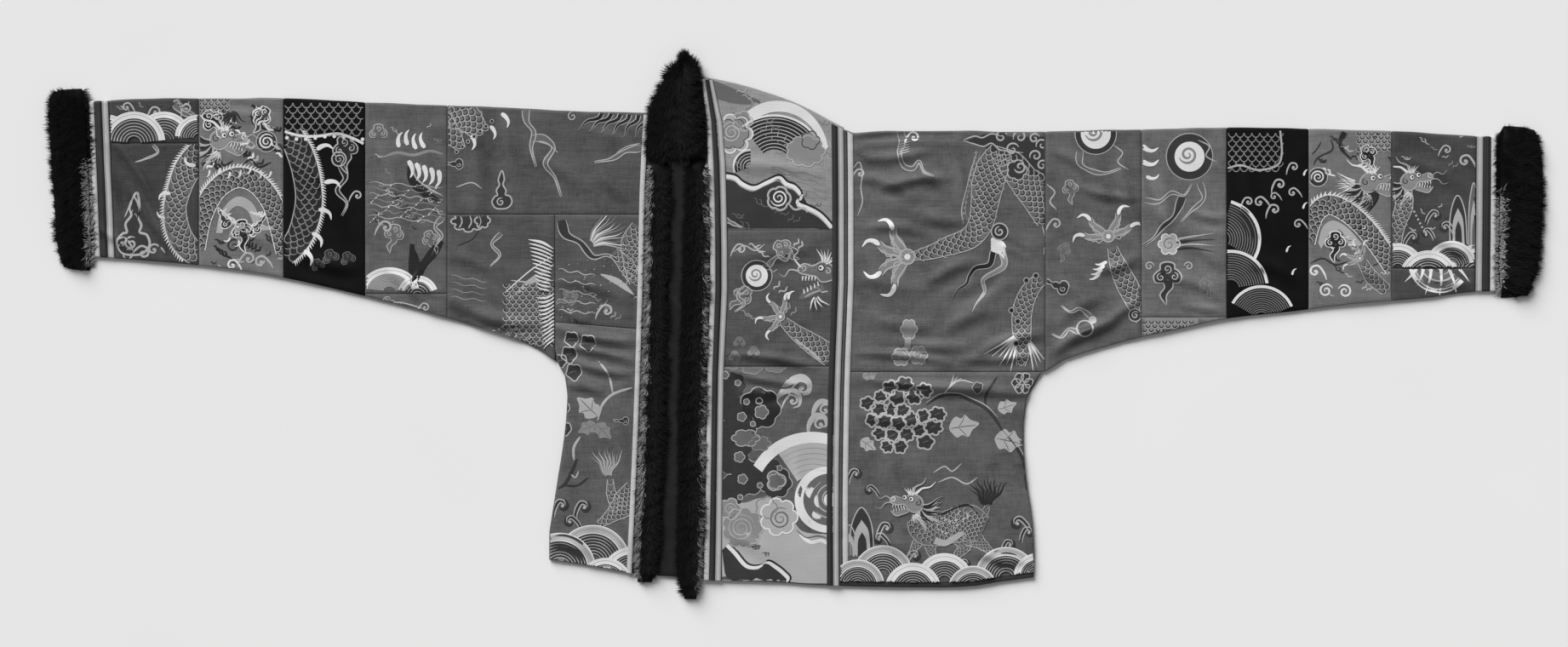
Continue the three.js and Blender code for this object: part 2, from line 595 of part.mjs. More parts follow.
// Lower fronts and lower backs.
add('left_front', flatPiece({
  lines: [leftSide, leftBraidEdge, clothEdgeLeft], cells: [5, 1],
  low: hem, high: before(leftWaist), rows: 17, height: frontHeight,
}), 0x585858, SILK);
add('right_front', flatPiece({
  lines: [after(insetSeam), innerBandEnd, rightSide], cells: [1, 10],
  low: moved(hem, HEM_BINDING + SEAM_GAP), high: at(WAIST - HALF_SEAM), rows: 12, height: frontHeight,
}), 0x626262, SILK);
add('right_hem_binding', flatPiece({
  lines: [after(insetSeam), innerBandEnd, rightSide], cells: [1, 10],
  low: hem, high: moved(hem, HEM_BINDING), rows: 1, height: frontHeight,
}), 0x4a4a4a, RIBBON);
add('left_back', flatPiece({
  lines: [leftSide, at(CENTRE_BACK - HALF_SEAM)], cells: [7],
  low: hem, high: at(WAIST - HALF_SEAM), rows: 8, height: backHeight,
}), 0x5c5c5c, SILK);
add('right_back', flatPiece({
  lines: [at(CENTRE_BACK + HALF_SEAM), rightSide], cells: [7],
  low: hem, high: at(WAIST - HALF_SEAM), rows: 8, height: backHeight,
}), 0x5e5e5e, SILK);

// Inset panel between the opening and the right front, in three pieces.
const INSET_PIECES = [
  { name: 'inset_upper', low: at(INSET_SEAM_1 + HALF_SEAM), high: neckSlope, rows: 6, color: 0x969696 },
  { name: 'inset_middle', low: at(INSET_SEAM_2 + HALF_SEAM), high: at(INSET_SEAM_1 - HALF_SEAM), rows: 7, color: 0x606060 },
  { name: 'inset_lower', low: hem, high: at(INSET_SEAM_2 - HALF_SEAM), rows: 11, color: 0x4c4c4c },
];
for (const { name, low, high, rows, color } of INSET_PIECES) {
  add(name, flatPiece({
    lines: [bandLeft, bandRight, innerBand, before(insetSeam)], cells: [1, 6, 1],
    low, high, rows, height: frontHeight,
  }), color, SILK);
}

// Ribbons on the front, from the opening outwards.
const ribbonTop = moved(neckSlope, -3);
const RIBBON_MARGIN = 0.4;
add('left_front_braid', ribbonPiece({
  left: moved(leftBraidEdge, RIBBON_MARGIN), right: moved(clothEdgeLeft, -RIBBON_MARGIN),
  low: hem, high: moved(topLeft, -3),
}), 0xb0b0b0, RIBBON);

const BAND_SHARES = [
  { name: 'right_band_braid', from: 0.01, to: 0.32, color: 0xb4b4b4 },
  { name: 'right_band_dark_ribbon', from: 0.34, to: 0.62, color: 0x262626 },
  { name: 'right_band_striped_ribbon', from: 0.64, to: 0.99, color: 0x949494 },
];
for (const { name, from, to, color } of BAND_SHARES) {
  add(name, ribbonPiece({
    left: (y) => mix(bandLeft(y), bandRight(y), from), right: (y) => mix(bandLeft(y), bandRight(y), to),
    low: hem, high: ribbonTop,
  }), color, RIBBON);
}

let innerOffset = 0;
for (const [part, width] of Object.entries(INNER_BAND)) {
  const start = innerOffset;
  add(`inner_band_${part}_ribbon`, ribbonPiece({
    left: moved(innerBand, start), right: moved(innerBand, start + width),
    low: moved(hem, part === 'cord' || part === 'braid' ? HEM_BINDING + SEAM_GAP : 0), high: ribbonTop,
  }), { dark: 0x242424, striped: 0x989898, cord: 0x303030, braid: 0xb8b8b8 }[part], RIBBON);
  innerOffset += width + SEAM_GAP;
}

// Front opening: a satin strip between two fur strips, and the collar's fur above them.
add('front_satin', flatPiece({
  lines: [moved(satinLeft, SEAM_GAP), moved(satinRight, -SEAM_GAP)], cells: [1],
  low: hem, high: at(COLLAR_FOOT - FUR_GAP), rows: 12, height: at(FRONT_MID),
}), 0x1c1c1c, SILK);

const STRIP_STEPS = 14;
function stripRows(left, right, foot, headY, footTaper) {
  const rows = [];
  for (let i = 0; i <= STRIP_STEPS; i += 1) {
    const y = mix(foot, headY, i / STRIP_STEPS);
    const narrow = i === 0 ? footTaper : 0;
    rows.push({ y, left: left(y) + narrow, right: right(y) - narrow, fullness: i === 0 ? 0.5 : 1 });
  }
  return rows;
}
const FUR_HEAD = COLLAR_FOOT - SEAM_GAP;
add('left_front_fur', furStrip(
  stripRows(moved(clothEdgeLeft, FUR_GAP), moved(satinLeft, -SEAM_GAP), -323, FUR_HEAD, 5),
  FRONT_FUR_HEIGHT,
), 0x161616, FUR);
add('right_front_fur', furStrip(
  stripRows(moved(satinRight, SEAM_GAP), moved(bandLeft, -FUR_GAP), -344.5, FUR_HEAD, 6),
  FRONT_FUR_HEIGHT,
), 0x161616, FUR);
add('collar_fur', furStrip(
  COLLAR_ARCH.map(({ y, left, right }, i) => ({
    y,
    left: y < topLeft(left) + WALL ? Math.max(left, clothEdgeLeft(y) + FUR_GAP) : left,
    right: Math.min(right, bandLeft(y) - FUR_GAP),
    fullness: i < COLLAR_ARCH.length - 1 ? 1 : 0.5,
  })),
  COLLAR_FUR_HEIGHT,
), 0x141414, FUR);

export default jacket;
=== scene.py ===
import bpy
import numpy as np
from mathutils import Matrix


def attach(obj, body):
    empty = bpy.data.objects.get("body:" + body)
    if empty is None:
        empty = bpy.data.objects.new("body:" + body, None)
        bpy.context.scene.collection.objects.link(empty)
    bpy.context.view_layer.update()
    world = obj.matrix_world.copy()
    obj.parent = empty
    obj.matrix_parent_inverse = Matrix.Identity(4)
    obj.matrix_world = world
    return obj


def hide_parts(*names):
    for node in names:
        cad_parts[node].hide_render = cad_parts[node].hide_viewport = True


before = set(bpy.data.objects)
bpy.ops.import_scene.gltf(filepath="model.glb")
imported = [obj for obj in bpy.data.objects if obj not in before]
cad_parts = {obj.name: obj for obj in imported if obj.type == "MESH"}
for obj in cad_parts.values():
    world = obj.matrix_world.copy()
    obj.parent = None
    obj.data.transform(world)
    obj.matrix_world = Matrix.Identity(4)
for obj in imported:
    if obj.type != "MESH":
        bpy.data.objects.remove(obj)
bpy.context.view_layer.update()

# A short front-opening jacket pieced from dragon-robe silks, laid flat with its front up.
# Sizes are in millimetres here and become metres where a mesh is made. "Left" and "right" are
# the sides as seen from above with the hem towards -Y.

MM = 0.001
CLOTH_WALL = 1.3      # thickness of each piece of silk
RIBBON_WALL = 0.8
FRONT_TOP = 4.6       # upper face of the front where it lies flat
UNDERSIDE = 0.3       # lower face of the back
PARTING = 2.3         # height between the back layer and the front layer
ROLL = 0.8            # how far an edge turns down at a seam
ROLL_WIDTH = 2.4
FRONT_LOW = 3.2       # no trough takes the front below this height
HAIR_LOW = 0.1        # no hair lies lower than this
FUR_BODY_DROP = 3.5   # the fur's body stays this far under its reach
HAIR_ROOT_DROP = 4.0  # and the hairs' roots this far
SEAM_MARGIN = 0.4     # figures stop this far inside a seam
NARROWEST_SHEET = 10.0
LOW_EASE = 0.7        # height over which a trough eases to that limit
CREASE_GAIN = 2.6

# ------------------------------------------------------------------ folds and swell of the cloth

# Each crease: x and y of its two ends, bow to its left, half width and height. A height below
# zero is a trough.
FRONT_CREASES = [
    # left sleeve, from the cuff
    (-858, 232, -800, 126, 6, 6, 2.4), (-842, 180, -786, 100, -5, 5, 2.2),
    (-868, 218, -850, 150, 3, 6, -1.3), (-806, 116, -798, 92, 1, 3, 1.3),
    (-882, 128, -842, 104, -3, 6, 1.2), (-790, 262, -764, 206, 4, 7, 1.1),
    (-742, 226, -700, 132, -7, 10, 1.4), (-688, 120, -660, 92, 3, 7, 1.2),
    (-716, 282, -664, 274, 2, 6, -1.1), (-640, 220, -572, 120, 9, 10, 1.8),
    (-628, 96, -560, 74, -4, 8, 1.5), (-604, 262, -556, 236, 3, 7, 1.0),
    (-532, 236, -498, 120, 7, 10, 1.5), (-516, 74, -452, 44, -5, 7, 1.7),
    (-500, 52, -462, 26, 2, 5, 1.2), (-476, 258, -452, 190, -4, 9, 1.1),
    # left yoke and the pieces below it
    (-418, 262, -398, 158, 5, 11, 1.9), (-366, 270, -352, 176, -4, 9, 1.0),
    (-330, 214, -262, 168, 8, 9, 1.2), (-262, 262, -214, 246, 2, 6, -1.2),
    (-250, 206, -206, 158, -5, 8, 1.3), (-434, 34, -330, 4, -8, 8, 2.3),
    (-414, 8, -338, -16, -5, 5, 1.6), (-432, 92, -380, 66, 4, 8, 1.2),
    (-392, 2, -318, -30, 3, 4, -1.4), (-296, 60, -214, 34, 5, 8, 1.5),
    (-300, 24, -262, 8, -2, 5, 1.2), (-232, 122, -206, 58, 4, 7, 1.2),
    # left front
    (-300, 0, -206, -18, -4, 6, 2.4), (-292, -24, -208, -42, 3, 5, 2.6),
    (-278, -44, -212, -60, -2, 5, 2.1), (-286, -72, -240, -84, 2, 5, 1.3),
    (-236, -96, -214, -164, 4, 7, 1.2), (-300, -186, -262, -250, -5, 9, 1.3),
    (-246, -206, -218, -286, 4, 8, 1.1), (-306, -268, -258, -288, 3, 6, 1.2),
    # inset panel
    (-84, 206, 28, 196, 4, 8, 1.1), (-70, 92, 22, 104, -5, 9, 1.0),
    (-80, -34, 26, -50, 3, 5, 2.0), (-76, -58, 18, -72, -3, 5, 2.2),
    (-66, -84, 34, -82, 2, 6, 1.3), (-52, -120, -20, -190, 5, 8, 1.0),
    (2, -172, 26, -262, -4, 8, 1.2), (-84, -262, -30, -292, 3, 7, 1.1),
    # right yoke
    (78, 238, 204, 242, 3, 4, -1.5), (76, 226, 96, 212, 1, 3, 1.3),
    (84, 214, 172, 224, -3, 6, 1.4), (112, 178, 196, 190, 4, 6, 2.2),
    (160, 144, 214, 136, -3, 7, 1.5), (264, 110, 296, 94, 1, 3, -1.6),
    (76, 62, 150, 44, 4, 10, 1.2), (96, 14, 176, 2, -5, 10, 1.6),
    (190, -6, 250, 22, 5, 9, 1.4), (84, -32, 196, -44, 3, 5, 1.9),
    (214, -40, 296, -36, -2, 5, 1.7), (232, 206, 244, 96, 5, 10, 1.0),
    # right sleeve, from the body
    (330, -30, 404, 4, 6, 7, 2.3), (352, -12, 436, 36, -5, 7, 1.6),
    (336, 8, 392, 40, 4, 9, 1.3), (362, 178, 436, 164, -4, 5, 1.7),
    (328, 150, 356, 96, 5, 8, 1.1), (398, 102, 424, 46, -4, 8, 1.0),
    (462, 206, 470, 116, 4, 9, 1.2), (506, 146, 546, 138, -2, 5, 1.5),
    (482, 64, 536, 40, 3, 7, 1.4), (498, 28, 540, 22, -1, 4, 1.4),
    (568, 214, 606, 108, -7, 10, 1.4), (588, 84, 640, 56, 4, 8, 1.2),
    (672, 204, 716, 118, 7, 10, 1.2), (700, 88, 748, 60, -4, 7, 1.2),
    (776, 214, 846, 178, 5, 9, 1.3), (768, 150, 800, 96, -5, 8, 1.2),
    (808, 112, 858, 92, 3, 7, 1.3), (790, 66, 858, 54, -2, 6, 1.3),
    (84, 190, 150, 168, 5, 7, 1.6), (150, 214, 196, 176, -5, 7, 1.5), (92, 128, 160, 122, 3, 6, 1.5),
    (100, 86, 128, 18, -6, 9, 1.4), (170, 56, 226, 84, 4, 8, 1.6), (206, 34, 262, 66, -4, 7, -1.5),
    (122, -14, 214, -24, -4, 7, 1.8), (232, -34, 312, -8, 5, 7, 2.0), (196, 232, 214, 170, 4, 7, 1.4),
    (330, 224, 372, 196, 4, 7, 1.5), (384, 72, 432, 88, -3, 7, 1.6), (340, 58, 380, 12, 5, 8, 1.8),
    (414, 214, 434, 128, -4, 8, 1.4), (454, 152, 500, 92, 5, 8, 1.5), (508, 104, 542, 72, 3, 7, 1.6),
    # right front
    (92, -66, 250, -74, -4, 5, 2.1), (124, -88, 292, -84, 5, 6, 1.7),
    (86, -110, 164, -122, -3, 7, 1.2), (248, -110, 286, -186, 6, 9, 1.3),
    (120, -150, 142, -250, -6, 10, 1.2), (196, -196, 268, -246, 6, 10, 1.2),
    (92, -258, 150, -292, 4, 8, 1.1), (226, -284, 292, -296, -2, 6, 1.3),
]
BACK_CREASES = [
    (-846, 240, -780, 120, 6, 9, 0.9), (-720, 250, -690, 120, -5, 10, 0.8),
    (-640, 200, -560, 90, 7, 10, 0.9), (-520, 220, -470, 70, -6, 10, 0.8),
    (-430, 60, -330, 6, 7, 9, 1.0), (-360, 230, -300, 100, 6, 11, 0.7),
    (-240, 60, -120, 20, -8, 12, 0.8), (-290, -70, -120, -90, 5, 9, 1.0),
    (-200, -120, -170, -270, 8, 12, 0.8), (-70, -100, -50, -280, -6, 12, 0.7),
    (60, -90, 90, -260, 6, 12, 0.8), (120, -70, 280, -80, -4, 9, 1.0),
    (210, -150, 240, -290, 7, 11, 0.8), (90, 160, 230, 110, 8, 12, 0.8),
    (330, -20, 430, 30, 7, 9, 1.0), (460, 200, 500, 60, -6, 10, 0.8),
    (590, 210, 620, 70, 5, 10, 0.8), (690, 200, 730, 70, -6, 10, 0.9),
    (790, 210, 850, 100, 6, 10, 0.9),
]


def ridges(x, y, creases):
    """Sum of soft ridges. Each lies on a shallow bow between its ends. Across it the height is a
    bell, less a wider and shallower bell on one side, and along it a half sine that dies away
    past the ends."""
    z = np.zeros_like(x)
    for x0, y0, x1, y1, bow, width, height in creases:
        length = np.hypot(x1 - x0, y1 - y0)
        ux, uy = (x1 - x0) / length, (y1 - y0) / length
        along = ((x - x0) * ux + (y - y0) * uy) / length
        t = np.clip(along, 0, 1)
        off = (y - y0) * ux - (x - x0) * uy - bow * 4 * t * (1 - t)
        past = (along - t) * length
        bell = np.exp(-(off / width) ** 2) - 0.45 * np.exp(-((off + 1.6 * width) / (1.3 * width)) ** 2)
        z += CREASE_GAIN * height * bell * np.sin(np.pi * (0.1 + 0.8 * t)) * np.exp(-(past / width) ** 2)
    return z


def back_lift(x, y):
    """Height of the back above its flat underside: only the ridges, never below zero."""
    return np.maximum(ridges(x, y, BACK_CREASES), 0)


def front_height(x, y):
    """Upper face of the front: its flat height, a slow uneven swell of crossed sines, the
    creases, and part of the back's ridges under it, eased to a lowest height by a hyperbola."""
    swell = (0.6 * np.sin(x / 37 + 0.8 * np.sin(y / 53)) * np.sin(y / 41 + 1.3)
             + 0.42 * np.sin(x / 19 + y / 31) * np.sin(y / 23 - x / 61)
             + 0.2 * np.sin(x / 8.3 + 2 * np.sin(y / 17)) * np.sin(y / 9.1 + x / 26))
    above = FRONT_TOP + 0.5 + swell + ridges(x, y, FRONT_CREASES) + 0.5 * back_lift(x, y) - FRONT_LOW
    return FRONT_LOW + (above + np.hypot(above, LOW_EASE)) / 2


# ------------------------------------------------------------------ outlines of the CAD solids

def layer_edges(node, side):
    """Ends of the edges of the node's triangles on one side of the cloth: side 1 is what faces up
    above the parting height, side -1 what faces down below it."""
    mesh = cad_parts[node].data
    points = np.empty(len(mesh.vertices) * 3, np.float32)
    mesh.vertices.foreach_get("co", points)
    points = points.reshape(-1, 3) / MM
    mesh.calc_loop_triangles()
    corners = np.empty(len(mesh.loop_triangles) * 3, np.int32)
    mesh.loop_triangles.foreach_get("vertices", corners)
    a, b, c = (points[corners.reshape(-1, 3)[:, k]] for k in range(3))
    normal = np.cross(b - a, c - a)
    tilt = normal[:, 2] / (np.linalg.norm(normal, axis=1) + 1e-9)
    keep = (side * tilt > 0.3) & (side * ((a + b + c)[:, 2] / 3 - PARTING) > 0)
    a, b, c = a[keep], b[keep], c[keep]
    return np.concatenate([a, b, c]), np.concatenate([b, c, a])


class Outline:
    """Plan outline of one side of a piece: its low and high edges as functions of x and its left
    and right edges as functions of y, found by straight cuts through the solid between its four
    corners. Past a corner an edge keeps its end value. left and right set an edge's x instead."""

    def __init__(self, node, side=1, left=None, right=None):
        start, end = layer_edges(node, side)
        if left is not None or right is not None:
            low_x = -1e9 if left is None else left
            high_x = 1e9 if right is None else right
            keep = (np.minimum(start[:, 0], end[:, 0]) < high_x) & (np.maximum(start[:, 0],
                    end[:, 0]) > low_x)
            start, end = start[keep], end[keep]
        x, y = start[:, 0], start[:, 1]
        corner = [start[np.argmax(score)] for score in (-x - y, x - y, y - x, x + y)]
        self.low = self.cut(start, end, 0, corner[0], corner[1], np.min, left, right)
        self.high = self.cut(start, end, 0, corner[2], corner[3], np.max, left, right)
        self.left = self.cut(start, end, 1, corner[0], corner[2], np.min)
        self.right = self.cut(start, end, 1, corner[1], corner[3], np.max)
        if left is not None:
            self.left = (self.left[0], np.full_like(self.left[0], left))
        if right is not None:
            self.right = (self.right[0], np.full_like(self.right[0], right))

    @staticmethod
    def cut(start, end, axis, first, last, pick, least=None, most=None):
        """Crossings of the edges with lines square to the axis, about every 2 mm."""
        low, high = first[axis] + 0.02, last[axis] - 0.02
        low = low if least is None else max(low, least)
        high = high if most is None else min(high, most)
        at = np.linspace(low, high, max(4, int((high - low) / 2)))
        a, b = start[:, axis], end[:, axis]
        span = np.where(np.abs(b - a) < 1e-6, 1e-6, b - a)
        share = (at[:, None] - a) / span
        other = 1 - axis
        cross = start[:, other] + share * (end[:, other] - start[:, other])
        outside = (share < -1e-6) | (share > 1 + 1e-6) | (np.abs(b - a) < 1e-6)
        blank = 1e9 if pick is np.min else -1e9
        value = pick(np.where(outside, blank, cross), axis=1)
        good = np.abs(value) < 1e8
        return at[good], value[good]

    def edge(self, name, value):
        """One edge's place at the given coordinate along it."""
        return np.interp(value, *getattr(self, name))

    def spread(self, u, v, trim_top=0.0):
        """Points at the shares u across and v up: x lies between the left and right edges at its
        y, and y between the low and high edges at its x, settled by repeating both."""
        u, v = np.broadcast_arrays(u, v)
        x = np.full(u.shape, self.low[0].mean()) + (u - 0.5) * np.ptp(self.low[0])
        for _ in range(14):
            y = (1 - v) * self.edge("low", x) + v * (self.edge("high", x) - trim_top)
            x = (1 - u) * self.edge("left", y) + u * self.edge("right", y)
        return x, y

    def size(self, trim_top=0.0):
        """Width and height through the middle."""
        x, y = self.spread(np.array([0, 1, 0.5, 0.5]), np.array([0.5, 0.5, 0, 1]), trim_top)
        return x[1] - x[0], y[3] - y[2]

    def holds(self, x, y, margin):
        """True where a point lies inside, at least the margin from every edge."""
        return ((x > self.edge("left", y) + margin) & (x < self.edge("right", y) - margin)
                & (y > self.edge("low", x) + margin) & (y < self.edge("high", x) - margin))


def stations(length, step, near=(0.0, 0.7, 1.7)):
    """Shares from 0 to 1, close together at both ends and about a step apart between."""
    near = [d for d in near if d < length / 4]
    inner = np.linspace(near[-1], length - near[-1], max(2, int(round(length / step))))
    return np.unique(np.concatenate([near, inner, length - np.array(near)])) / length


# ------------------------------------------------------------------ meshes

def mesh_piece(name, points, faces, materials, face_slots=None, uv=None, shade=None):
    """A mesh from an array of points in millimetres and an array of faces with 3 or 4 corners."""
    mesh = bpy.data.meshes.new(name)
    faces = np.asarray(faces, np.int32)
    corners = faces.shape[1]
    mesh.vertices.add(len(points))
    mesh.vertices.foreach_set("co", (np.asarray(points, np.float64) * MM).astype(np.float32).ravel())
    mesh.loops.add(faces.size)
    mesh.loops.foreach_set("vertex_index", faces.ravel())
    mesh.polygons.add(len(faces))
    mesh.polygons.foreach_set("loop_start", np.arange(0, faces.size, corners, dtype=np.int32))
    mesh.update(calc_edges=True)
    mesh.polygons.foreach_set("use_smooth", np.ones(len(faces), bool))
    for material in materials:
        mesh.materials.append(material)
    if face_slots is not None:
        mesh.polygons.foreach_set("material_index", np.asarray(face_slots, np.int32))
    if uv is not None:
        layer = mesh.uv_layers.new(name="UVMap")
        layer.data.foreach_set("uv", np.asarray(uv, np.float32)[faces.ravel()].ravel())
    if shade is not None:
        attribute = mesh.attributes.new("shade", "FLOAT", "POINT")
        attribute.data.foreach_set("value", np.asarray(shade, np.float32))
    mesh.validate()
    piece = bpy.data.objects.new(name, mesh)
    bpy.context.scene.collection.objects.link(piece)
    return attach(piece, "root")


def closed_wall(outer, inner):
    """Points and faces of a closed wall between two grids of the same shape: the outer grid, the
    inner grid turned round, and a strip along the border."""
    rows, columns = outer.shape[:2]
    index = np.arange(rows * columns).reshape(rows, columns)
    quads = np.stack([index[:-1, :-1], index[:-1, 1:], index[1:, 1:], index[1:, :-1]], -1).reshape(-1, 4)
    border = np.concatenate([index[0, :-1], index[:-1, -1], index[-1, :0:-1], index[:0:-1, 0]])
    ahead = np.roll(border, -1)
    shift = rows * columns
    rim = np.stack([border, border + shift, ahead + shift, ahead], -1)
    faces = np.concatenate([quads, quads[:, ::-1] + shift, rim])
    return np.concatenate([outer.reshape(-1, 3), inner.reshape(-1, 3)]), faces


def roll_down(x, y, outline, sides="lrbt"):
    """How far the cloth turns down near its edges: a quarter parabola inside the roll's width."""
    gaps = {"l": x - outline.edge("left", y), "r": outline.edge("right", y) - x,
            "b": y - outline.edge("low", x), "t": outline.edge("high", x) - y}
    near = np.min([np.abs(gaps[s]) for s in sides], axis=0)
    return ROLL * np.clip(1 - near / ROLL_WIDTH, 0, 1) ** 2


def joined(*parts):
    """Several (points, faces) sets as one."""
    points = np.concatenate([p for p, _ in parts])
    shifts = np.cumsum([0] + [len(p) for p, _ in parts[:-1]])
    return points, np.concatenate([f + s for (_, f), s in zip(parts, shifts)])


def flat_wall(outline, wall, step, height, side=1, rise=0.0, sides="lrbt"):
    """A flat piece: side 1 lies with its outer face up at the given height function, side -1 with
    its outer face down on the surface below."""
    width, length = outline.size()
    u, v = stations(width, step), stations(length, step)
    u, v = np.meshgrid(u, v if side > 0 else v[::-1])
    x, y = outline.spread(u, v)
    roll = roll_down(x, y, outline, sides)
    z = height(x, y) + rise - roll if side > 0 else UNDERSIDE + back_lift(x, y) + roll
    outer = np.stack([x, y, z], -1)
    inner = outer - [0, 0, side * (wall - 0.0)]
    inner[..., 2] += side * roll
    uv = np.stack([x / 100, y / 100], -1).reshape(-1, 2)
    return closed_wall(outer, inner), np.concatenate([uv, uv])


def folded_wall(front, back, wall, step, rise=0.0, fold_steps=6):
    """A piece folded over its top edge: up the front, round the fold as a half circle in each
    column, and down the back."""
    trim = (FRONT_TOP - UNDERSIDE) / 2
    width, length = front.size(trim)
    u = stations(width, step)
    v = stations(length, step)[:-2]
    v = np.append(v, 1.0)
    uu, vv = np.meshgrid(u, v)
    x, y = front.spread(uu, vv, trim)
    roll = roll_down(x, y, front, "lrb")
    z = front_height(x, y) + rise - roll
    outer = [np.stack([x, y, z], -1)]
    inner = [np.stack([x, y, z - wall + roll], -1)]
    # the fold
    top_x, top_y, top_z, top_roll = x[-1], y[-1], z[-1], roll[-1]
    foot = UNDERSIDE + back_lift(top_x, top_y) - rise * 0.5 + top_roll
    middle, radius = (top_z + foot) / 2, (top_z - foot) / 2
    angle = np.linspace(np.pi / 2, -np.pi / 2, fold_steps + 2)[1:-1, None]
    reach = radius * (1 - 0.12 * np.sin(top_x / 13) * np.sin(top_x / 29))
    for scale, rows in ((0.0, outer), (wall, inner)):
        rows.append(np.stack([np.broadcast_to(top_x, (fold_steps, len(u))),
                              top_y + np.maximum(reach - scale, 0.2) * np.cos(angle),
                              middle + np.maximum(radius - scale + top_roll * (scale > 0),
                                                  0.2) * np.sin(angle)], -1))
    # the back
    _, back_length = back.size(trim)
    w = stations(back_length, 9)
    w = np.append(1.0, w[:-2][::-1])
    uu, vv = np.meshgrid(u, w)
    x, y = back.spread(uu, vv, trim)
    x[0], y[0] = top_x, top_y
    roll = roll_down(x, y, back, "lrb")
    z = UNDERSIDE + back_lift(x, y) - rise * 0.5 + roll
    outer.append(np.stack([x, y, z], -1))
    inner.append(np.stack([x, y, z + wall - roll], -1))
    outer, inner = np.concatenate(outer), np.concatenate(inner)
    steps = np.linalg.norm(np.diff(outer, axis=0), axis=-1)
    along = np.concatenate([np.zeros((1, len(u))), np.cumsum(steps, axis=0)])
    uv = np.stack([np.broadcast_to(u, along.shape), along / 100], -1).reshape(-1, 2)
    return closed_wall(outer, inner), np.concatenate([uv, uv])


# ------------------------------------------------------------------ materials

def tone(level):
    """Light reflected by a grey that shows at this level from 0 to 255."""
    share = level / 255
    return share / 12.92 if share <= 0.04045 else ((share + 0.055) / 1.055) ** 2.4


def colour(level):
    return (tone(level),) * 3 + (1.0,)


def new_group(name, inputs, outputs):
    """An empty shader node group with the named sockets, its node tree, and its end nodes."""
    tree = bpy.data.node_groups.new(name, "ShaderNodeTree")
    for label, kind, value in inputs:
        socket = tree.interface.new_socket(label, in_out="INPUT", socket_type=kind)
        if value is not None:
            socket.default_value = value
    for label, kind in outputs:
        tree.interface.new_socket(label, in_out="OUTPUT", socket_type=kind)
    return tree, tree.nodes.new("NodeGroupInput"), tree.nodes.new("NodeGroupOutput")


def add_node(tree, kind, settings=(), **inputs):
    """A node with its settings and its inputs, which are values or other nodes' sockets."""
    node = tree.nodes.new(kind)
    for key, value in dict(settings).items():
        setattr(node, key, value)
    for key, value in inputs.items():
        numbered = key[0] == "i" and key[1:].isdigit()
        socket = node.inputs[int(key[1:]) if numbered else key.replace("_", " ")]
        if isinstance(value, bpy.types.NodeSocket):
            tree.links.new(value, socket)
        else:
            socket.default_value = value
    return node


def maths(tree, operation, a, b=0.0, c=0.0):
    return add_node(tree, "ShaderNodeMath", {"operation": operation}, i0=a, i1=b, i2=c).outputs[0]


def noise(tree, vector, scale, stretch=(1, 1, 1), detail=2.0, rough=0.5):
    """Noise over a vector in metres, with its scale in cells per metre."""
    turned = add_node(tree, "ShaderNodeMapping", i0=vector, i3=stretch).outputs[0]
    return add_node(tree, "ShaderNodeTexNoise", Vector=turned, Scale=scale, Detail=detail,
                    Roughness=rough).outputs[0]


def centred(tree, value, gain):
    """The value less a half, times the gain."""
    return maths(tree, "MULTIPLY", maths(tree, "SUBTRACT", value, 0.5), gain)


def make_weave():
    """Woven silk: lengthwise and crosswise threads of uneven thickness, slubs, and broad worn
    and rubbed places. It puts out a shade around 0.5 and a height."""
    tree, given, out = new_group(
        "woven_silk",
        [("Place", "NodeSocketVector", None), ("Slubs", "NodeSocketFloat", 1.0), ("Wear", "NodeSocketFloat",
                1.0)],
        [("Shade", "NodeSocketFloat"), ("Height", "NodeSocketFloat"), ("Rub", "NodeSocketFloat")])
    place = given.outputs["Place"]
    weft = noise(tree, place, 900, (0.06, 1, 1), 2)
    warp = noise(tree, place, 800, (1, 0.07, 1), 2)
    long_weft = noise(tree, place, 300, (0.03, 1, 1), 2)
    grain = noise(tree, place, 1100, (1, 1, 1), 1)
    broad = noise(tree, place, 16, (1, 1.5, 1), 4, 0.6)
    rub = noise(tree, place, 55, (1, 1, 1), 4, 0.65)
    threads = maths(tree, "ADD", centred(tree, weft, 0.55), centred(tree, warp, 0.45))
    threads = maths(tree, "ADD", threads, centred(tree, long_weft, 0.35))
    threads = maths(tree, "ADD", threads, centred(tree, grain, 0.35))
    threads = maths(tree, "MULTIPLY", threads, given.outputs["Slubs"])
    worn = maths(tree, "ADD", centred(tree, broad, 0.75), centred(tree, rub, 0.4))
    worn = maths(tree, "MULTIPLY", worn, given.outputs["Wear"])
    tree.links.new(maths(tree, "ADD", maths(tree, "ADD", threads, worn), 0.5), out.inputs["Shade"])
    tree.links.new(maths(tree, "ADD", threads, 0.5), out.inputs["Height"])
    tree.links.new(rub, out.inputs["Rub"])
    return tree


def new_material(name):
    material = bpy.data.materials.new(name)
    material.use_nodes = True
    tree = material.node_tree
    return material, tree, tree.nodes["Principled BSDF"]


def finish_shader(tree, shader, base, height, strength, distance, rough, specular=0.3, sheen=0.0):
    """Links the colour, the bump and the roughness, and sets the constants on the shader."""
    tree.links.new(base, shader.inputs["Base Color"])
    bump = add_node(tree, "ShaderNodeBump", Strength=strength, Distance=distance, Height=height)
    tree.links.new(bump.outputs[0], shader.inputs["Normal"])
    if isinstance(rough, bpy.types.NodeSocket):
        tree.links.new(rough, shader.inputs["Roughness"])
    else:
        shader.inputs["Roughness"].default_value = rough
    shader.inputs["Specular IOR Level"].default_value = specular
    shader.inputs["Sheen Weight"].default_value = sheen
    shader.inputs["Sheen Roughness"].default_value = 0.4


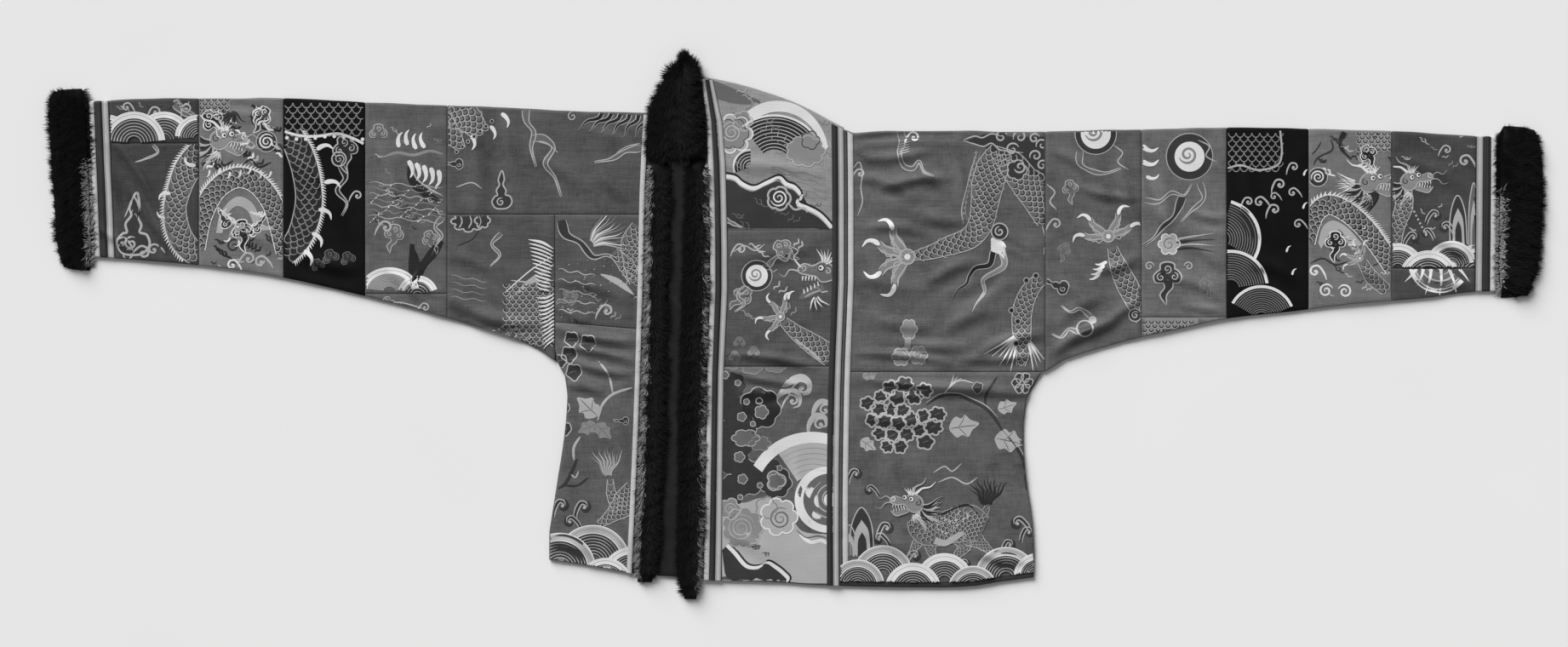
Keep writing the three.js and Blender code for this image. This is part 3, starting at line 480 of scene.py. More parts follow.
def silk(name, dark, light, slubs=1.0, wear=1.0, rough=0.62, specular=0.3, sheen=0.05, strength=0.35):
    """Silk whose colour runs from the dark to the light grey over the weave's shade."""
    material, tree, shader = new_material(name)
    place = add_node(tree, "ShaderNodeTexCoord").outputs["Object"]
    weave = add_node(tree, "ShaderNodeGroup", {"node_tree": WEAVE}, Place=place, Slubs=slubs, Wear=wear)
    base = add_node(tree, "ShaderNodeMix", {"data_type": "RGBA"}, Factor=weave.outputs["Shade"])
    base.inputs[6].default_value, base.inputs[7].default_value = colour(dark), colour(light)
    roughness = maths(tree, "ADD", centred(tree, weave.outputs["Rub"], 0.3), rough)
    finish_shader(tree, shader, base.outputs[2], weave.outputs["Height"], strength, 0.0004,
                  roughness, specular, sheen)
    return material


def thread(name, level, rough=0.5, specular=0.35, sheen=0.1):
    """Silk thread worked solid in one colour. Fine ridges and gloss along the threads."""
    material, tree, shader = new_material(name)
    place = add_node(tree, "ShaderNodeTexCoord").outputs["Object"]
    weave = add_node(tree, "ShaderNodeGroup", {"node_tree": WEAVE}, Place=place, Slubs=1.0, Wear=0.6)
    shader.inputs["Base Color"].default_value = colour(level)
    bump = add_node(tree, "ShaderNodeBump", Strength=0.5, Distance=0.0005, Height=weave.outputs["Shade"])
    tree.links.new(bump.outputs[0], shader.inputs["Normal"])
    roughness = maths(tree, "ADD", centred(tree, weave.outputs["Rub"], 0.35), rough)
    tree.links.new(roughness, shader.inputs["Roughness"])
    shader.inputs["Specular IOR Level"].default_value = specular
    shader.inputs["Sheen Weight"].default_value = sheen
    return material


def woven_band(name, stops, ribs=650, streak=0.16, specular=0.3, rough=0.55, dots=None):
    """Ribbon: its greys across the width as stops of (share, level), fine crosswise ribs, and
    rows of small dots if dots gives (how many across, how many in 100 mm, depth)."""
    material, tree, shader = new_material(name)
    uv = add_node(tree, "ShaderNodeTexCoord").outputs["UV"]
    parts = add_node(tree, "ShaderNodeSeparateXYZ", Vector=uv)
    ramp = tree.nodes.new("ShaderNodeValToRGB")
    tree.links.new(parts.outputs[0], ramp.inputs[0])
    elements = ramp.color_ramp.elements
    elements[0].position, elements[0].color = stops[0][0], colour(stops[0][1])
    elements[1].position, elements[1].color = stops[-1][0], colour(stops[-1][1])
    for share, level in stops[1:-1]:
        elements.new(share).color = colour(level)
    place = add_node(tree, "ShaderNodeTexCoord").outputs["Object"]
    grain = noise(tree, place, 900, (1, 1, 1), 2)
    worn = noise(tree, place, 60, (1, 1, 1), 3, 0.6)
    rib = maths(tree, "SINE", maths(tree, "MULTIPLY", parts.outputs[1], float(ribs)))
    value = maths(tree, "ADD", centred(tree, grain, streak * 3), centred(tree, worn, streak * 2.5))
    value = maths(tree, "ADD", value, maths(tree, "MULTIPLY", rib, 0.03))
    if dots:
        across, along, depth = dots
        a = maths(tree, "SINE", maths(tree, "MULTIPLY", parts.outputs[0], 6.2832 * across))
        b = maths(tree, "SINE", maths(tree, "MULTIPLY", parts.outputs[1], 6.2832 * along))
        dot = maths(tree, "GREATER_THAN", maths(tree, "MULTIPLY", a, b), 0.55)
        value = maths(tree, "SUBTRACT", value, maths(tree, "MULTIPLY", dot, depth))
    gain = maths(tree, "ADD", value, 1.0)
    base = add_node(tree, "ShaderNodeMix", {"data_type": "RGBA", "blend_type": "MULTIPLY"}, Factor=1.0)
    tree.links.new(ramp.outputs[0], base.inputs[6])
    combine = add_node(tree, "ShaderNodeCombineXYZ", i0=gain, i1=gain, i2=gain)
    tree.links.new(combine.outputs[0], base.inputs[7])
    height = maths(tree, "ADD", rib, centred(tree, grain, 2.0))
    finish_shader(tree, shader, base.outputs[2], height, 0.3, 0.0003, rough, specular, 0.05)
    return material


def fur_material(name, dark, pale):
    """Fur: black hair, grey where the shade attribute is high; the attribute is also darker at the roots as
    painted shade and a little lighter at the tips as a painted highlight.
    """
    material, tree, shader = new_material(name)
    shade = add_node(tree, "ShaderNodeAttribute", {"attribute_name": "shade"}).outputs["Fac"]
    place = add_node(tree, "ShaderNodeTexCoord").outputs["Object"]
    strand = noise(tree, place, 700, (1, 1, 1), 2)
    value = maths(tree, "MULTIPLY", shade, maths(tree, "ADD", centred(tree, strand, 0.6), 1.0))
    base = add_node(tree, "ShaderNodeMix", {"data_type": "RGBA"}, Factor=value)
    base.inputs[6].default_value, base.inputs[7].default_value = colour(dark), colour(pale)
    finish_shader(tree, shader, base.outputs[2], strand, 0.3, 0.0006, 0.65, 0.08, 0.0)
    return material


def plain_floor_material():
    material, tree, shader = new_material("pale_table")
    place = add_node(tree, "ShaderNodeTexCoord").outputs["Object"]
    base = add_node(tree, "ShaderNodeMix", {"data_type": "RGBA"}, Factor=noise(tree, place, 3, (1, 1, 1), 2))
    base.inputs[6].default_value, base.inputs[7].default_value = colour(228), colour(233)
    finish_shader(tree, shader, base.outputs[2], noise(tree, place, 400), 0.02, 0.0002, 0.9, 0.1)
    return material


WEAVE = make_weave()
SILKS = {
    "mid_silk": silk("mid_silk", 44, 110),
    "pale_silk": silk("pale_silk", 72, 130, slubs=0.9, wear=0.9),
    "black_silk": silk("black_silk", 8, 20, slubs=0.8, wear=0.7, specular=0.08, sheen=0.0, strength=0.2),
    "light_silk": silk("light_silk", 98, 168, slubs=0.9),
    "dim_silk": silk("dim_silk", 34, 80),
    "dusk_silk": silk("dusk_silk", 20, 76),
    "left_silk": silk("left_silk", 36, 99),
    "soft_silk": silk("soft_silk", 56, 124),
}
BANDS = {
    "dark_ribbon": woven_band("dark_satin", [(0.0, 24), (0.16, 44), (0.32, 26), (0.5, 52), (0.66, 28),
                                             (0.84, 44), (1.0, 22)],
                              streak=0.1, specular=0.25),
    "striped_ribbon": woven_band("striped_ribbon", [(0.0, 70), (0.07, 130), (0.32, 150), (0.38, 196),
                                                    (0.44, 172), (0.7, 168), (0.86, 146), (0.93, 100),
                                                    (1.0, 70)],
                                 streak=0.08),
    "pale_braid": woven_band("pale_braid", [(0.0, 120), (0.08, 182), (0.5, 196), (0.92, 182), (1.0, 120)],
                             streak=0.16,
                             dots=(2, 33, 0.28)),
    "cord_ribbon": woven_band("dark_cord", [(0.0, 30), (0.3, 88), (0.5, 60), (0.7, 88), (1.0, 30)],
                              streak=0.3, dots=(1, 60, 0.4)),
    "satin": silk("front_satin", 10, 26, slubs=0.3, wear=0.8, rough=0.42, specular=0.4, sheen=0.0,
                  strength=0.1),
    "binding": silk("dark_binding", 34, 58, slubs=0.6, wear=0.7, specular=0.2),
}
FUR = fur_material("black_fur", 8, 165)

# ------------------------------------------------------------------ camera, floor and light

CENTRE_X, CENTRE_Y, VIEW_WIDTH, CAMERA_HEIGHT, SENSOR = -13.5, 5.4, 1989.4, 6000.0, 36.0
camera = bpy.data.objects.new("camera", bpy.data.cameras.new("camera"))
bpy.context.scene.collection.objects.link(camera)
camera.location = (CENTRE_X * MM, CENTRE_Y * MM, CAMERA_HEIGHT * MM)
camera.data.sensor_width = SENSOR
camera.data.lens = SENSOR * (CAMERA_HEIGHT - FRONT_TOP) / VIEW_WIDTH
camera.data.clip_end = 50
bpy.context.scene.camera = camera

floor_half = 20000.0
floor = mesh_piece("floor", np.array([[-1, -1, 0], [1, -1, 0], [1, 1, 0], [-1, 1, 0]]) * floor_half
                   - [0, 0, 0.4], [[0, 1, 2, 3]], [plain_floor_material()])
floor.parent = None

world = bpy.data.worlds.new("studio")
bpy.context.scene.world = world
world.use_nodes = True
world.node_tree.nodes["Background"].inputs[0].default_value = (1, 1, 1, 1)
world.node_tree.nodes["Background"].inputs[1].default_value = 0.26
key = bpy.data.objects.new("soft_key", bpy.data.lights.new("soft_key", "SUN"))
bpy.context.scene.collection.objects.link(key)
key.data.energy = 4.5
key.data.angle = 0.7
key.rotation_euler = (np.radians(-48.6), np.radians(-39.4), 0)
bpy.context.scene.view_settings.view_transform = "Standard"

# ------------------------------------------------------------------ the cloth pieces

PIECES = {}       # piece name: (object, front outline)
SHEETS = []       # piece, flat size, area, held and the pieces it rests on


def cloth(name, material, wall, uv):
    points, faces = wall
    piece = mesh_piece(name + "_cloth", points, faces, [material], uv=uv)
    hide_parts(name)
    return piece


def plan_area(outline, trim=0.0):
    """Area inside an outline, by strips across it."""
    v = np.linspace(0, 1, 60)
    left_x, left_y = outline.spread(np.zeros(60), v, trim)
    right_x, right_y = outline.spread(np.ones(60), v, trim)
    x = np.concatenate([left_x, right_x[::-1]])
    y = np.concatenate([left_y, right_y[::-1]])
    return abs(np.dot(x, np.roll(y, -1)) - np.dot(y, np.roll(x, -1))) / 2


def plan_extent(outline, trim=0.0):
    """Widest width and longest length of an outline."""
    u, v = np.meshgrid(np.linspace(0, 1, 30), np.linspace(0, 1, 30))
    x, y = outline.spread(u, v, trim)
    return np.ptp(x), np.ptp(y)


FOLD_TURN = np.pi * (FRONT_TOP - UNDERSIDE) / 2
SILK_STEP = 3.9


def flat_cloth(name, finish, rests, side=1, step=SILK_STEP, sides="lrbt"):
    outline = Outline(name, side)
    wall, uv = flat_wall(outline, CLOTH_WALL, step, front_height, side, sides=sides)
    piece = cloth(name, finish, wall, uv)
    PIECES[name] = (piece, outline)
    SHEETS.append((piece, plan_extent(outline), plan_area(outline), "laid", rests))
    return piece


def folded_cloth(name, finish, rests, step=SILK_STEP, beyond=None):
    """A piece folded over its top edge. beyond is the side, left or right, on which its back goes
    on past its front as a flat wall."""
    front = Outline(name)
    trim = (FRONT_TOP - UNDERSIDE) / 2
    if beyond:
        seam = float(front.edge(beyond, 1e4))
        back = Outline(name, -1, **{beyond: seam})
        rest = Outline(name, -1, **{{"left": "right", "right": "left"}[beyond]: seam})
    else:
        back = Outline(name, -1)
    wall, uv = folded_wall(front, back, CLOTH_WALL, step)
    area = plan_area(front, trim) + plan_area(back, trim)
    width, length = plan_extent(front, trim)
    back_width, back_length = plan_extent(back, trim)
    width, length = max(width, back_width), length + back_length + FOLD_TURN
    if beyond:
        extra, extra_uv = flat_wall(rest, CLOTH_WALL, 9, front_height, -1, sides="tb")
        wall, uv = joined(wall, extra), np.concatenate([uv, extra_uv])
        area += plan_area(rest)
        width += plan_extent(rest)[0]
    piece = cloth(name, finish, wall, uv)
    PIECES[name] = (piece, front)
    SHEETS.append((piece, (width, length), area + width * FOLD_TURN * 0.5, "folded", rests))
    return piece


for name, finish in {
    "left_sleeve_1": "dusk_silk", "left_sleeve_2": "pale_silk", "left_sleeve_3": "black_silk",
    "left_sleeve_4": "mid_silk", "right_sleeve_1": "mid_silk", "right_sleeve_2": "soft_silk",
    "right_sleeve_3": "black_silk", "right_sleeve_4": "pale_silk", "right_sleeve_5": "dim_silk",
}.items():
    folded_cloth(name, SILKS[finish], ["floor"])
folded_cloth("left_yoke", SILKS["left_silk"], ["floor"], beyond="right")
folded_cloth("right_yoke", SILKS["mid_silk"], ["floor"], beyond="left")
for name, finish, under in (
    ("left_sleeve_1_scroll", "dusk_silk", "left_sleeve_1"),
    ("left_sleeve_4_gusset", "mid_silk", "left_sleeve_4"),
    ("right_sleeve_2_gusset", "soft_silk", "right_sleeve_2"),
    ("right_sleeve_5_wave", "dim_silk", "right_sleeve_5"),
    ("left_yoke_side", "left_silk", "left_yoke"), ("left_yoke_front", "left_silk", "left_yoke"),
    ("left_front", "mid_silk", "left_back"), ("right_front", "mid_silk", "right_back"),
    ("right_hem_binding", "binding", "right_back"), ("inset_upper", "light_silk", "right_yoke"),
    ("inset_middle", "left_silk", "right_yoke"), ("inset_lower", "mid_silk", "right_back"),
):
    material = BANDS["binding"] if finish == "binding" else SILKS[finish]
    flat_cloth(name, material, [under])
flat_cloth("left_back", SILKS["mid_silk"], ["floor"], -1, 8)
flat_cloth("right_back", SILKS["mid_silk"], ["floor"], -1, 8)
flat_cloth("front_satin", BANDS["satin"], ["left_back"])

# ------------------------------------------------------------------ ribbons and braids

RIBBON_LIFT = 1.0


def ribbon(name, finish, rests):
    """A narrow woven strip on the cloth, crowned a little across."""
    outline = Outline(name)
    width, length = outline.size()
    u, v = np.meshgrid(stations(width, 1.4, (0.0, 0.5)), stations(length, 3.5, (0.0, 0.8)))
    x, y = outline.spread(u, v)
    crown = 0.35 * (1 - (2 * u - 1) ** 2) - 0.45 * np.abs(2 * u - 1) ** 8
    outer = np.stack([x, y, front_height(x, y) + RIBBON_LIFT + crown], -1)
    inner = outer - [0, 0, RIBBON_WALL]
    inner[..., 2] = front_height(x, y) + RIBBON_LIFT - RIBBON_WALL
    uv = np.stack([u, y / 100], -1).reshape(-1, 2)
    piece = cloth(name, BANDS[finish], closed_wall(outer, inner), np.concatenate([uv, uv]))
    SHEETS.append((piece, plan_extent(outline), plan_area(outline), "laid", rests))
    return piece


def cuff_ribbon(name, finish, rests):
    """A ribbon round the cuff, folded over the sleeve's top edge."""
    front, back = Outline(name), Outline(name, -1)
    wall, uv = folded_wall(front, back, CLOTH_WALL, 1.6, rise=0.5)
    piece = cloth(name, BANDS[finish], wall, uv)
    width, length = plan_extent(front)
    SHEETS.append((piece, (width, 2 * length), plan_area(front) + plan_area(back), "folded", rests))
    return piece


ribbon("left_front_braid", "pale_braid", ["left_front"])
ribbon("right_band_braid", "pale_braid", ["inset_middle"])
ribbon("right_band_dark_ribbon", "dark_ribbon", ["inset_middle"])
ribbon("right_band_striped_ribbon", "striped_ribbon", ["inset_middle"])
ribbon("inner_band_dark_ribbon", "dark_ribbon", ["inset_middle"])
ribbon("inner_band_striped_ribbon", "striped_ribbon", ["inset_middle"])
ribbon("inner_band_cord_ribbon", "cord_ribbon", ["right_yoke"])
ribbon("inner_band_braid_ribbon", "pale_braid", ["right_yoke"])
for side in ("left", "right"):
    end = side + "_sleeve_" + ("1" if side == "left" else "5")
    cuff_ribbon(side + "_cuff_braid_ribbon", "pale_braid", [end])
    cuff_ribbon(side + "_cuff_dark_ribbon", "dark_ribbon", [end])
    cuff_ribbon(side + "_cuff_striped_ribbon", "striped_ribbon", [end])

# ------------------------------------------------------------------ worked figures: tools

THREADS = ["white", "light", "grey", "dim", "dark", "black"]
THREAD_LEVELS = {"white": 214, "light": 166, "grey": 128, "dim": 96, "dark": 44, "black": 22}
THREAD_MATERIALS = [thread(name + "_thread", level) for name, level in THREAD_LEVELS.items()]


def curve(points, step, closed=False):
    """Smooth curve through the points at even steps. Each span is the cubic whose end slopes are
    half the chords around it."""
    p = np.asarray(points, float)
    p = np.vstack([p[-1:], p, p[:2]]) if closed else np.vstack([2 * p[0] - p[1], p, 2 * p[-1] - p[-2]])
    a, b, c, d = (p[k:len(p) - 3 + k, None] for k in range(4))
    t = np.linspace(0, 1, 17)[:-1, None]
    q = 0.5 * (2 * b + (c - a) * t + (2 * a - 5 * b + 4 * c - d) * t ** 2 + (3 * b - a - 3 * c + d) * t ** 3)
    q = np.vstack([q.reshape(-1, 2), p[-2]])
    run = np.concatenate([[0], np.cumsum(np.hypot(*np.diff(q, axis=0).T))])
    at = np.linspace(0, run[-1], max(5, int(run[-1] / step) + 2))
    return np.stack([np.interp(at, run, q[:, 0]), np.interp(at, run, q[:, 1])], -1)


def side_of(path):
    """Unit vectors square to a path, to its left."""
    ahead = np.gradient(path, axis=0)
    ahead /= np.hypot(*ahead.T)[:, None] + 1e-9
    return np.stack([-ahead[:, 1], ahead[:, 0]], -1)


def wavy(start, end, waves, swing, bow=0.0):
    """Points of a waving line between two places, with a bow to its left."""
    start, end = np.array(start, float), np.array(end, float)
    t = np.linspace(0, 1, int(waves * 4) + 2)[:, None]
    along = end - start
    left = np.array([-along[1], along[0]]) / np.hypot(*along)
    return start + along * t + left * (swing * np.sin(2 * np.pi * waves * t) * (1 - 0.3 * t)
                                       + bow * 4 * t * (1 - t))


class Figures:
    """The figures worked on one piece, in its own millimetres or, after moved(), in a place of
    their own that is scaled, turned or mirrored."""

    def __init__(self):
        self.store, self.matrix, self.shift, self.size, self.over = [], np.eye(2), np.zeros(2), 1.0, 0.0

    def moved(self, x, y, size=1.0, turn=0.0, mirror=False, over=0.0):
        child = Figures()
        child.over = self.over + over
        c, s = np.cos(np.radians(turn)) * size, np.sin(np.radians(turn)) * size
        m = np.array([[c, -s], [s, c]]) @ np.diag([-1.0 if mirror else 1.0, 1.0])
        child.store, child.matrix = self.store, self.matrix @ m
        child.shift, child.size = self.shift + self.matrix @ np.array([x, y], float), self.size * size
        return child

    def patches(self, grids, lift, shade):
        """Grids of points (count, rows, columns, 2), all in one thread, with a lift for each
        column or for all."""
        grids = np.asarray(grids, float) @ self.matrix.T + self.shift
        count, rows, columns = grids.shape[:3]
        lift = np.broadcast_to(np.asarray(lift, float) + self.over, (count, rows, columns))
        index = np.arange(count * rows * columns).reshape(count, rows, columns)
        quads = np.stack([index[:, :-1, :-1], index[:, :-1, 1:], index[:, 1:, 1:], index[:, 1:, :-1]],
                         -1).reshape(-1, 4)
        self.store.append((grids.reshape(-1, 2), lift.ravel(), quads, THREADS.index(shade)))

    def line(self, points, width, shade="light", lift=0.4, taper="both", closed=False):
        """A worked line: a smooth path with a crowned section that tapers at both ends, at the
        tip, or not at all."""
        path = curve(points, 1.7 / self.size, closed)
        t = np.linspace(0, 1, len(path))
        ends = {"both": np.minimum(1, 0.35 + 4 * np.minimum(t, 1 - t)), "tip": (1 - t) ** 0.7,
                "none": np.ones_like(t),
                "belly": np.sin(np.pi * (0.06 + 0.9 * t)), "horn": (1 - t) ** 0.55 * np.minimum(1,
                        0.5 + 3 * t)}[taper]
        half = side_of(path) * (np.maximum(ends, 0.06) * width / 2)[:, None]
        grid = np.stack([path + half, path, path - half], 1)
        self.patches(grid[None], [lift - 0.16, lift, lift - 0.16], shade)

    def area(self, left, right, shade, lift=0.25, across=4):
        """Solid work between two smooth edges."""
        left, right = curve(left, 1.0), curve(right, 1.0)
        count = max(6, int(max(len(left), len(right)) * self.size / 1.9))
        left, right = (p[np.linspace(0, len(p) - 1, count).round().astype(int)] for p in (left, right))
        share = np.linspace(0, 1, across + 1)[:, None]
        grid = left[:, None] * (1 - share) + right[:, None] * share
        self.patches(grid[None], lift, shade)

    def shape(self, points, shade, lift=0.25, edge=None, edge_width=1.4, rings=4, middle=None):
        """Solid work inside a closed smooth outline that its middle can see all of, with an
        edge line in another thread."""
        path = curve(points, 1.7 / self.size, True)
        middle = path.mean(0) if middle is None else np.asarray(middle, float)
        share = np.linspace(0.02, 1, rings + 1)[:, None]
        self.patches((middle + (path[:, None] - middle) * share)[None], lift, shade)
        if edge:
            self.line(points, edge_width, edge, lift + 0.18, "none", True)

    def lobed(self, x, y, radius, lobes, depth, shade, lift=0.25, edge=None, edge_width=1.4, stretch=(1, 1),
              turn=0.0):
        """A rounded shape with lobes round it."""
        a = np.linspace(0, 2 * np.pi, lobes * 6, endpoint=False)
        r = radius * (1 - 1.8 * depth + 1.8 * depth * np.abs(np.cos(a * lobes / 2 + np.radians(turn))) ** 0.7)
        points = np.stack([x + r * np.cos(a) * stretch[0], y + r * np.sin(a) * stretch[1]], -1)
        self.shape(points, shade, lift, edge, edge_width)

    def disc(self, x, y, radius, shade, lift=0.25, edge=None, edge_width=1.4, stretch=(1, 1)):
        self.lobed(x, y, radius, 4, 0.0, shade, lift, edge, edge_width, stretch)

    def spiral(self, x, y, radius, turns, width, shade="light", start=0.0, hand=1, lift=0.42, heart=0.12):
        """A line winding inwards evenly from its radius."""
        t = np.linspace(0, 1, int(turns * 10) + 4)
        a = np.radians(start) + hand * 2 * np.pi * turns * t
        r = radius * (1 - (1 - heart) * t)
        self.line(np.stack([x + r * np.cos(a), y + r * np.sin(a)], -1), width, shade, lift)

    def pearl(self, x, y, radius, ring=0.38, mirror=False):
        """A white disc with a spiral, in a dark ring edged with light."""
        hand = -1 if mirror else 1
        self.disc(x, y, radius * (1 + ring), "dark", 0.22, "light", 1.1)
        self.disc(x, y, radius, "white", 0.34)
        self.spiral(x - hand * radius * 0.12, y + radius * 0.14, radius * 0.62, 1.7, radius * 0.17, "grey",
                    200, hand, 0.5)

    def hill(self, x, y, radius, start, end, bands=7, foam=0.26, ground="dark", flat=1.0, stripe="light",
             inner=0.2, crest="white"):
        """A rounded wave: a broad pale band of foam, then stripes that follow it inwards."""
        a = np.radians(np.linspace(start, end, max(6, int(abs(end - start) / 12))))
        ray = np.stack([np.cos(a), flat * np.sin(a)], -1)
        middle = np.array([x, y], float)
        self.area(middle + ray * radius, middle + ray * radius * inner, ground, 0.24, 6)
        self.area(middle + ray * radius * 0.985, middle + ray * radius * (1 - foam), crest, 0.36, 3)
        if foam > 0.12:
            self.line(middle + ray * radius * (1 - foam * 0.45), 1.0, "light" if crest == "white"
                      else "grey", 0.5)
        self.line(middle + ray * radius * (1 - foam), 1.2, "white", 0.5, "none")
        self.line(middle + ray * radius * 0.98, 1.6, "white", 0.5, "none")
        radii = np.linspace(1 - foam - 0.07, inner + 0.04, bands)
        gap = (radii[0] - radii[-1]) / max(bands - 1, 1) * radius
        for r in radii:
            self.line(middle + ray * radius * r, max(gap * 0.3, 0.7), stripe, 0.38, "none")

    def hills(self, places, *form, lifted=0, crests=("white",)):
        """Wave hills in a row, each a little above the one before it."""
        for k, (x, y, radius) in enumerate(places):
            self.moved(0, 0, over=0.35 * (k + lifted)).hill(
                x, y, radius, *form, crest=crests[k % len(crests)])

    def curl(self, x, y, radius, turn=0.0, mirror=False, shade="light", ground=None, tail=1.0):
        """Wave or cloud curl: a spiral head on a tapering stem, edged in light."""
        f = self.moved(x, y, radius / 10, turn, mirror)
        stem = [(-16 * tail, -14 * tail), (-12, -3), (-3, 8), (7, 6), (9, -2), (3, -6), (-2, -2), (1, 2)]
        if ground:
            f.line(stem, 6.5, ground, 0.3, "both")
            f.line([(px * 1.0 - 1.8, py + 2.2) for px, py in stem[:5]], 2.0, shade, 0.46)
            f.line([(px + 2.2, py - 2.6) for px, py in stem[:3]] + [(5, -1), (2, 1)], 2.0, shade, 0.46)
        else:
            f.line(stem, 3.4, shade, 0.42)
        f.disc(1.5, -0.5, 2.6, shade, 0.44)

    def cloud(self, x, y, size, turn=0.0, mirror=False, ground="dark", edge="light", tail=True):
        """Three-lobed cloud with a curl in each lobe and a waving tail."""
        f = self.moved(x, y, size / 20, turn, mirror)
        for cx, cy, r in ((-9, 0, 9), (9, 1, 9), (0, 10, 10)):
            f.disc(cx, cy, r, ground, 0.26)
        if tail:
            f.area([(-5, -4), (-3, -14), (-9, -24), (-2, -36)], [(6, -5), (6, -14), (-2, -24), (-1, -36)],
                   ground, 0.24, 3)
            f.line([(-6, -7), (-4, -14), (-10, -24), (-2, -37)], 1.9, edge, 0.44)
            f.line([(7, -7), (7, -14), (-1, -24), (-1, -37)], 1.9, edge, 0.44)
        f.line([(-6, -8), (-16, -7), (-18.5, 2), (-12, 9), (-10, 10), (-9, 18), (0, 20.5), (9, 18), (10, 11),
                (13, 10),
                (18.5, 2), (16, -7), (7, -8)], 2.1, edge, 0.46)
        f.spiral(-9, 0, 5.6, 1.3, 1.6, edge, 90, 1)
        f.spiral(9, 1, 5.6, 1.3, 1.6, edge, 90, -1)
        f.spiral(0, 11, 6, 1.4, 1.6, edge, 250, 1)

    def flame(self, x, y, size, turn=0.0, mirror=False, ground="dark", edge="light"):
        """Pointed flame or cloud leaf: a waving tip on a lobed foot with a spiral."""
        f = self.moved(x, y, size / 20, turn, mirror)
        outline = [(-9, -10), (-12, -3), (-8, 3), (-5, 4), (-6, 10), (-2, 16), (-3, 22), (2, 32), (4, 22),
                   (2, 16), (5, 9),
                   (4, 4), (9, 2), (11, -5), (6, -11), (-2, -12)]
        f.shape(outline, ground, 0.28, edge, 1.7, middle=(0, 2))
        f.spiral(-2, -4, 5, 1.4, 1.5, edge, 60, 1, 0.5)

    def streamer(self, points, width, ground="dim", edge="light"):
        """A waving ribbon that narrows to its end: a ground with a light line on each side."""
        path = curve(points, 2.0 / self.size)
        t = np.linspace(0, 1, len(path))
        half = side_of(path) * (width / 2 * (1 - 0.8 * t) * (1 + 0.25 * np.sin(14 * t)))[:, None]
        self.patches(np.stack([path + half, path, path - half], 1)[None], [0.2, 0.28, 0.2], ground)
        self.line(path + half, 1.5, edge, 0.42)
        self.line(path - half, 1.5, edge, 0.42)

    def hair(self, x, y, length, start, end, count, width=2.2, shades=("white", "black"), waves=1.2,
             swing=1.6, edge=None):
        """Waving locks that fan out between two angles in degrees, in turn in each thread."""
        for k in range(count):
            a = np.radians(start + (end - start) * (k + 0.5) / count)
            reach = length * (1 - 0.22 * ((k * 7) % 5) / 4)
            tip = (x + reach * np.cos(a), y + reach * np.sin(a))
            points = wavy((x + 0.12 * length * np.cos(a), y + 0.12 * length * np.sin(a)), tip, waves, swing)
            if edge:
                self.line(points, width * 1.8, edge, 0.36, "tip")
            self.line(points, width, shades[k % len(shades)], 0.46, "tip")

    def scales(self, centres, ahead, size, ring="light", rim="dark", lift=0.36):
        """Scales at the given centres: an arc of rim and, inside it, an arc of ring, round the
        way each scale points."""
        if not len(centres):
            return
        left = np.stack([-ahead[:, 1], ahead[:, 0]], -1)
        a = np.linspace(-1.5, 1.5, 7)[None, :, None]
        ray = 1.24 * np.cos(a) * ahead[:, None] + np.sin(a) * left[:, None]
        for radius, width, shade, rise in ((0.34, 0.16, rim, 0.0), (0.48, 0.10, ring, 0.03)):
            if shade:
                edges = [centres[:, None] + ray * size * (radius + s * width / 2) for s in (1, -1)]
                self.patches(np.stack(edges, 2), lift + rise, shade)

    def scaled(self, points, widths, pitch=9.0, ground="dim", ring="light", rim="dark", edge="light",
               spines=0.0, spine_side=1):
        """A scaled body along a path: its ground between two edges, rows of scales staggered
        across it, edge lines, and spines along one side if they have a length."""
        path = curve(points, 1.5 / self.size)
        t = np.linspace(0, 1, len(path))
        width = np.interp(t, np.linspace(0, 1, len(widths)), widths)
        left = side_of(path)
        edges = [path + left * (width / 2)[:, None], path - left * (width / 2)[:, None]]
        across = np.linspace(0, 1, 6)[:, None]
        self.patches((edges[0][:, None] * (1 - across) + edges[1][:, None] * across)[None], 0.2, ground)
        run = np.concatenate([[0], np.cumsum(np.hypot(*np.diff(path, axis=0).T))])
        rows = np.arange(0.4 * pitch, run[-1] - 0.2 * pitch, 0.62 * pitch)
        columns = np.arange(-6, 7)
        row, column = np.meshgrid(np.arange(len(rows)), columns, indexing="ij")
        at = rows[row]
        off = (column + 0.5 * (row % 2)) * pitch * 0.98
        keep = np.abs(off) < np.interp(at, run, width) / 2 - 0.22 * pitch
        at, off = at[keep], off[keep]
        pick = lambda values: np.stack([np.interp(at, run, values[:, k]) for k in (0, 1)], -1)
        normal = pick(left)
        ahead = np.stack([normal[:, 1], -normal[:, 0]], -1)
        self.scales(pick(path) + normal * off[:, None], ahead, pitch, ring, rim)
        for k in (0, 1):
            self.line(edges[k], 2.2, "dark", 0.34, "none")
            self.line(edges[k], 1.2, edge, 0.46, "none")
        if spines:
            edge_path = edges[0 if spine_side > 0 else 1]
            out = left * spine_side
            roots = np.arange(3, len(path) - 3, max(2, int(4.2 / (1.5 / self.size))))
            tip = edge_path[roots] + out[roots] * spines + (path[roots + 2] - path[roots]) * 1.2
            near, far = edge_path[roots - 1], edge_path[roots + 1]
            grid = np.stack([np.stack([near, (near * 0.4 + tip * 0.6), tip], 1),
                             np.stack([far, (far * 0.4 + tip * 0.6), tip], 1)], 2)
            self.patches(grid, 0.44, "white")

